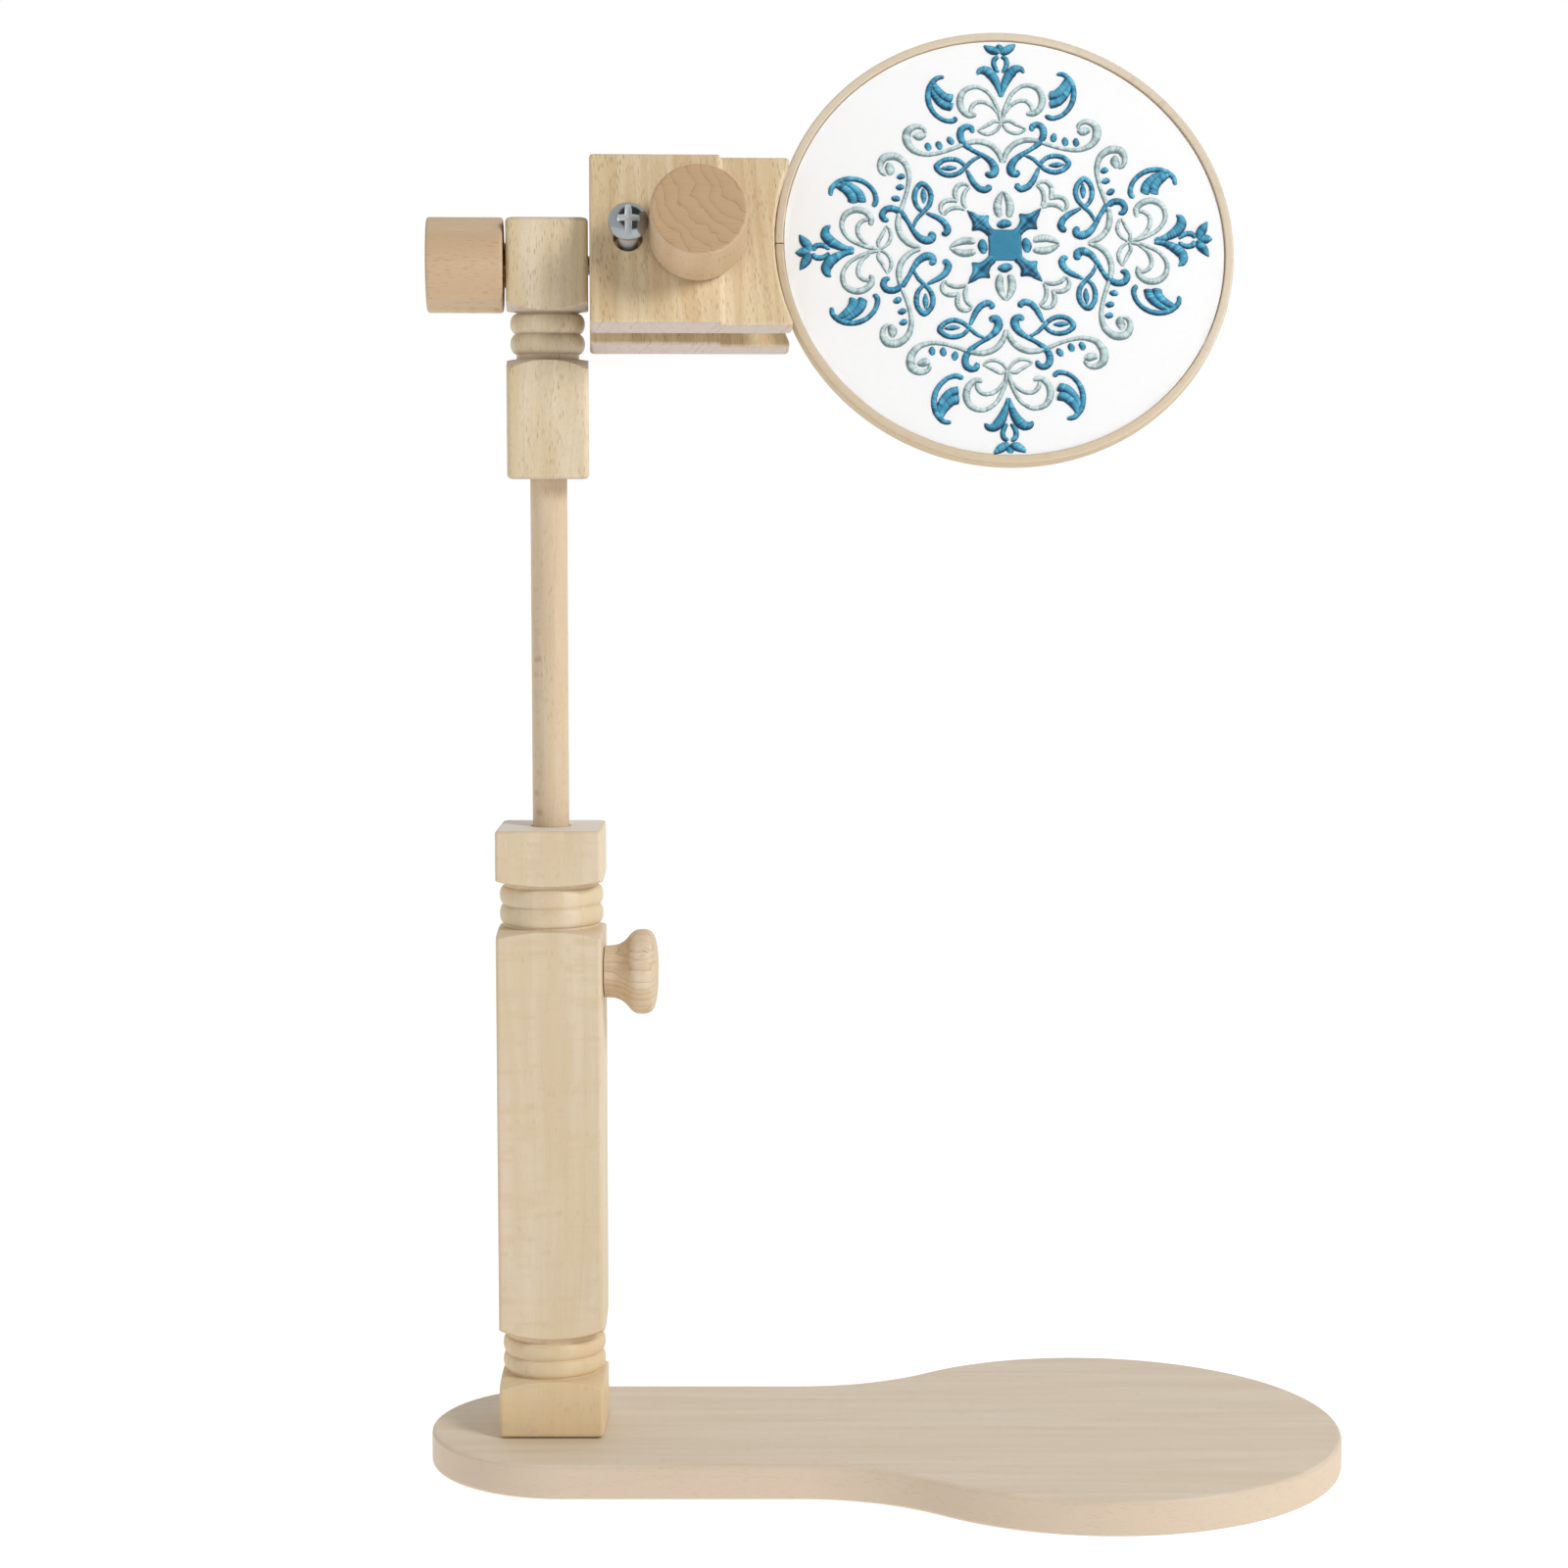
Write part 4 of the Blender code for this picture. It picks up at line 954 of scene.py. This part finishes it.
def satin(points, random, vein=False, slant=0.22, end=1.0):
    """A raised band of satin stitches across a smooth line: its vertices, faces and tones, the tones holding
    painted shade and painted highlight.

    end is how far its ends are rounded, as a share of the half width."""
    centre, along, width, at, stitches = smooth_band(points)
    side = np.stack([-along[:, 1], along[:, 0]], 1)
    length = at[-1]
    phase = np.arange(len(at)) / STITCH_SAMPLES
    which = np.minimum(phase.astype(int), stitches - 1)
    ridge = np.abs(np.sin(pi * phase)) ** 0.7
    jag = random.uniform(-0.05, 0.05, (stitches, 2))[which]
    single, group = random.uniform(-0.13, 0.13, stitches), random.uniform(-0.13, 0.13, stitches)
    sheen = (single + group.repeat(3)[:stitches])[which]
    near = np.minimum(at, length - at) / np.maximum(width, 0.2) / end
    blunt = np.sqrt(1 - (1 - np.clip(near, 0, 1)) ** 2) * 0.9 + 0.1
    height = (0.30 + 0.36 * np.clip(width, 0, 1.6)) * (0.35 + 0.65 * blunt)
    turn = np.linspace(pi, 0, 9)
    across, lift = np.cos(turn), np.sin(turn) ** 0.75
    if vein:
        lift = lift * (0.45 + 0.55 * np.clip(np.abs(across) / 0.2, 0, 1))
    reach = width[:, None] * blunt[:, None] * across
    reach = reach + np.where(across < 0, jag[:, :1], jag[:, 1:]) * np.abs(across) ** 3
    reach = reach * (0.97 + 0.03 * ridge[:, None])
    flat = centre[:, None] + side[:, None] * reach[:, :, None] + along[:, None] * (reach * slant)[:, :, None]
    tall = height[:, None] * lift * (0.86 + 0.14 * ridge[:, None])
    ends = flat[:, [0, -1]]
    ring = np.concatenate([ends[:, :1], flat, ends[:, 1:]], 1)
    root = np.full((len(at), 1), ROOT)
    z = np.concatenate([root, tall, root], 1)
    facing = across * (side @ PAINTED_LIGHT_SIDE)[:, None]  # painted highlight on the side of each band that faces up, painted shade on the side that faces down
    # tone: painted shade towards each band's edges and in the grooves between stitches, painted highlight on the
    # up side, and a random painted sheen for each stitch
    tone = 0.10 + 0.56 * lift ** 2 + 0.42 * facing + sheen[:, None] - 0.32 * (1 - ridge[:, None])
    tone = np.concatenate([tone[:, :1], tone, tone[:, -1:]], 1)
    rows, cols = z.shape
    verts = np.concatenate([ring, z[:, :, None]], 2).reshape(-1, 3)
    i, j = np.meshgrid(np.arange(rows - 1), np.arange(cols), indexing="ij")
    k = (j + 1) % cols
    faces = np.stack([i * cols + j, i * cols + k, (i + 1) * cols + k, (i + 1) * cols + j], -1).reshape(-1, 4)
    faces = faces.tolist() + [list(range(cols))[::-1], list(range((rows - 1) * cols, rows * cols))]
    return verts, faces, tone.ravel()


def tatami(half, random):
    """The filled square in the middle: rows of short stitches on the diagonal."""
    count = 78
    line = np.linspace(-1, 1, count)
    u, v = np.meshgrid(line, line, indexing="ij")
    x, y = half * u * (1 - 0.07 * (1 - v ** 2)), half * v * (1 - 0.07 * (1 - u ** 2))
    row = (x + y) / sqrt(2) / 0.38
    step = (x - y) / sqrt(2) / 1.3 + 0.5 * (np.floor(row) % 2)
    weave_height = np.abs(np.sin(pi * row)) ** 0.7 * 0.6 + 0.4 * np.abs(np.sin(pi * step)) ** 0.4
    edge = np.clip((1 - np.maximum(np.abs(u), np.abs(v))) * 9, 0, 1) ** 0.5
    z = ROOT + (0.55 + 0.16 * weave_height) * edge
    # painted shade: the tone is darker between the rows and stitches and towards the square's edge, with a random
    # tone at each point
    tone = 0.14 + 0.36 * weave_height * edge + random.uniform(-0.07, 0.07, u.shape)
    verts = np.stack([x, y, z], -1).reshape(-1, 3)
    i, j = np.meshgrid(np.arange(count - 1), np.arange(count - 1), indexing="ij")
    a = i * count + j
    faces = np.stack([a, a + count, a + count + 1, a + 1], -1).reshape(-1, 4).tolist()
    border = list(range(count)) + [r * count + count - 1 for r in range(1, count)]
    border += [count * count - 1 - k for k in range(1, count)]
    border += [r * count for r in range(count - 2, 0, -1)]
    return verts, faces + [border], tone.ravel()


def embroidery_piece(name, patches, material, face):
    """Stitched patches joined into one piece that lies on the cloth."""
    faces, start = [], 0
    for points, quads, _ in patches:
        faces += [[start + v for v in q] for q in quads]
        start += len(points)
    verts, tones = (np.concatenate([patch[k] for patch in patches]) for k in (0, 2))
    piece = mesh_piece(name, verts, faces, moved(HOOP, z=face - 0.1))
    # the tone attribute carries the stitches' painted shade and painted highlight
    attribute = piece.data.attributes.new("tone", "FLOAT", "POINT")
    attribute.data.foreach_set("value", tones.astype(np.float32))
    piece.data.shade_smooth()
    return ride_with(piece, material, "hoop_fabric")


def placed(band, turns, flip):
    """A band's points turned to one of the four arms, and mirrored first if asked."""
    out = []
    for x, y, width in band:
        x = -x if flip else x
        y = y * LEVEL_ARM if turns % 2 else y
        for _ in range(turns):
            x, y = y, -x
        x, y = STRETCH @ (x, y) + CENTRE
        out.append((x, y, width))
    return out[::-1] if flip else out


def make_embroidery(face):
    """One blue and one mint piece for each arm, and the square in the middle."""
    random = np.random.RandomState(7)

    def mirrored(bands, turns, **style):
        return [satin(placed(b, turns, flip), random, **style) for b in bands for flip in (False, True)]

    pieces = []
    for turns, arm in enumerate(("top", "right", "bottom", "left")):
        flower, bud = (SLIM_FLOWER, SLIM_BUD) if turns % 2 else (TALL_FLOWER, TALL_BUD)
        blue = mirrored(WING_BANDS, turns, end=0.35) + mirrored(BLUE_BANDS + flower, turns)
        blue += [satin(placed(b, turns, False), random) for b in (bud, CENTRE_OVAL)]
        blue.append(satin(placed(HOLLY_LEAF, turns, False), random, vein=True, slant=0.0))
        mint = mirrored(MINT_BANDS, turns)
        pieces.append(embroidery_piece(f"stitches_blue_{arm}", blue, BLUE, face))
        pieces.append(embroidery_piece(f"stitches_mint_{arm}", mint, MINT, face))
    pieces.append(embroidery_piece("stitches_centre", [tatami(5.6, random)], BLUE, face))
    return pieces


# ---- camera, floor and light

def make_camera():
    data = bpy.data.cameras.new("camera")
    data.sensor_width = 36.0
    data.lens = 74.92
    camera = bpy.data.objects.new("camera", data)
    bpy.context.scene.collection.objects.link(camera)
    camera.location = (-0.0327, -1.0238, 0.3188)
    camera.rotation_euler = (radians(90 - 5.64), 0, 0)
    bpy.context.scene.camera = camera


def make_key_light():
    data = bpy.data.lights.new("key", "AREA")
    data.shape = "DISK"
    data.size = 0.8
    data.energy = 31
    light = bpy.data.objects.new("key", data)
    bpy.context.scene.collection.objects.link(light)
    light.location = (1.35, -1.15, 1.35)
    aim = Vector((0, 0, 0.25))
    light.rotation_euler = (aim - light.location).to_track_quat("-Z", "Y").to_euler()


def make_floor():
    reach, height = 6000.0, -0.1
    corners = [(x * reach, y * reach, height) for x, y in ((-1, -1), (1, -1), (1, 1), (-1, 1))]
    floor = mesh_piece("floor", corners, [(0, 1, 2, 3)], Matrix.Identity(4))
    floor.data.materials.append(Nodes("floor_white").finish(
        base_color=(0.28, 0.28, 0.28, 1), roughness=0.9, emission_color=(1, 1, 1, 1), emission_strength=0.85))


def make_world():
    """White to the camera; for light and reflections, grey with a dark patch above the front."""
    n = Nodes("studio", world=True)
    patch = Vector((0.35, -0.62, 0.70)).normalized()
    toward = n.add("VectorMath", {0: n.add("TexCoord").outputs["Generated"], 1: patch},
                   operation="DOT_PRODUCT").outputs["Value"]
    dome = n.band(toward, 0.62, 0.72, 0.76, 0.06)
    seen = n.add("LightPath").outputs["Is Camera Ray"]
    strength = n.add("Mix", {0: seen, 2: dome, 3: 1.0}).outputs[0]
    bpy.context.scene.world = n.finish(color=(1, 1, 1, 1), strength=strength)


# ---- assembly

make_camera()
make_board()
make_lower_post()
make_upper_post()
make_mast()
make_lock()
make_cylinder_knob("beech_tilt_knob", "tilt_knob", KNOB_SIDE, KNOB_WOOD)
make_cylinder_knob("beech_clamp_knob", "clamp_knob", CLAMP, KNOB_WOOD)
make_jaws()
ring_in_r = make_rings()
make_tension_screw()
dress_small_nodes()
cloth, cloth_face = make_cloth(ring_in_r)
stitches = make_embroidery(cloth_face)
make_floor()
make_world()
make_key_light()
bpy.context.scene.view_settings.view_transform = "Standard"
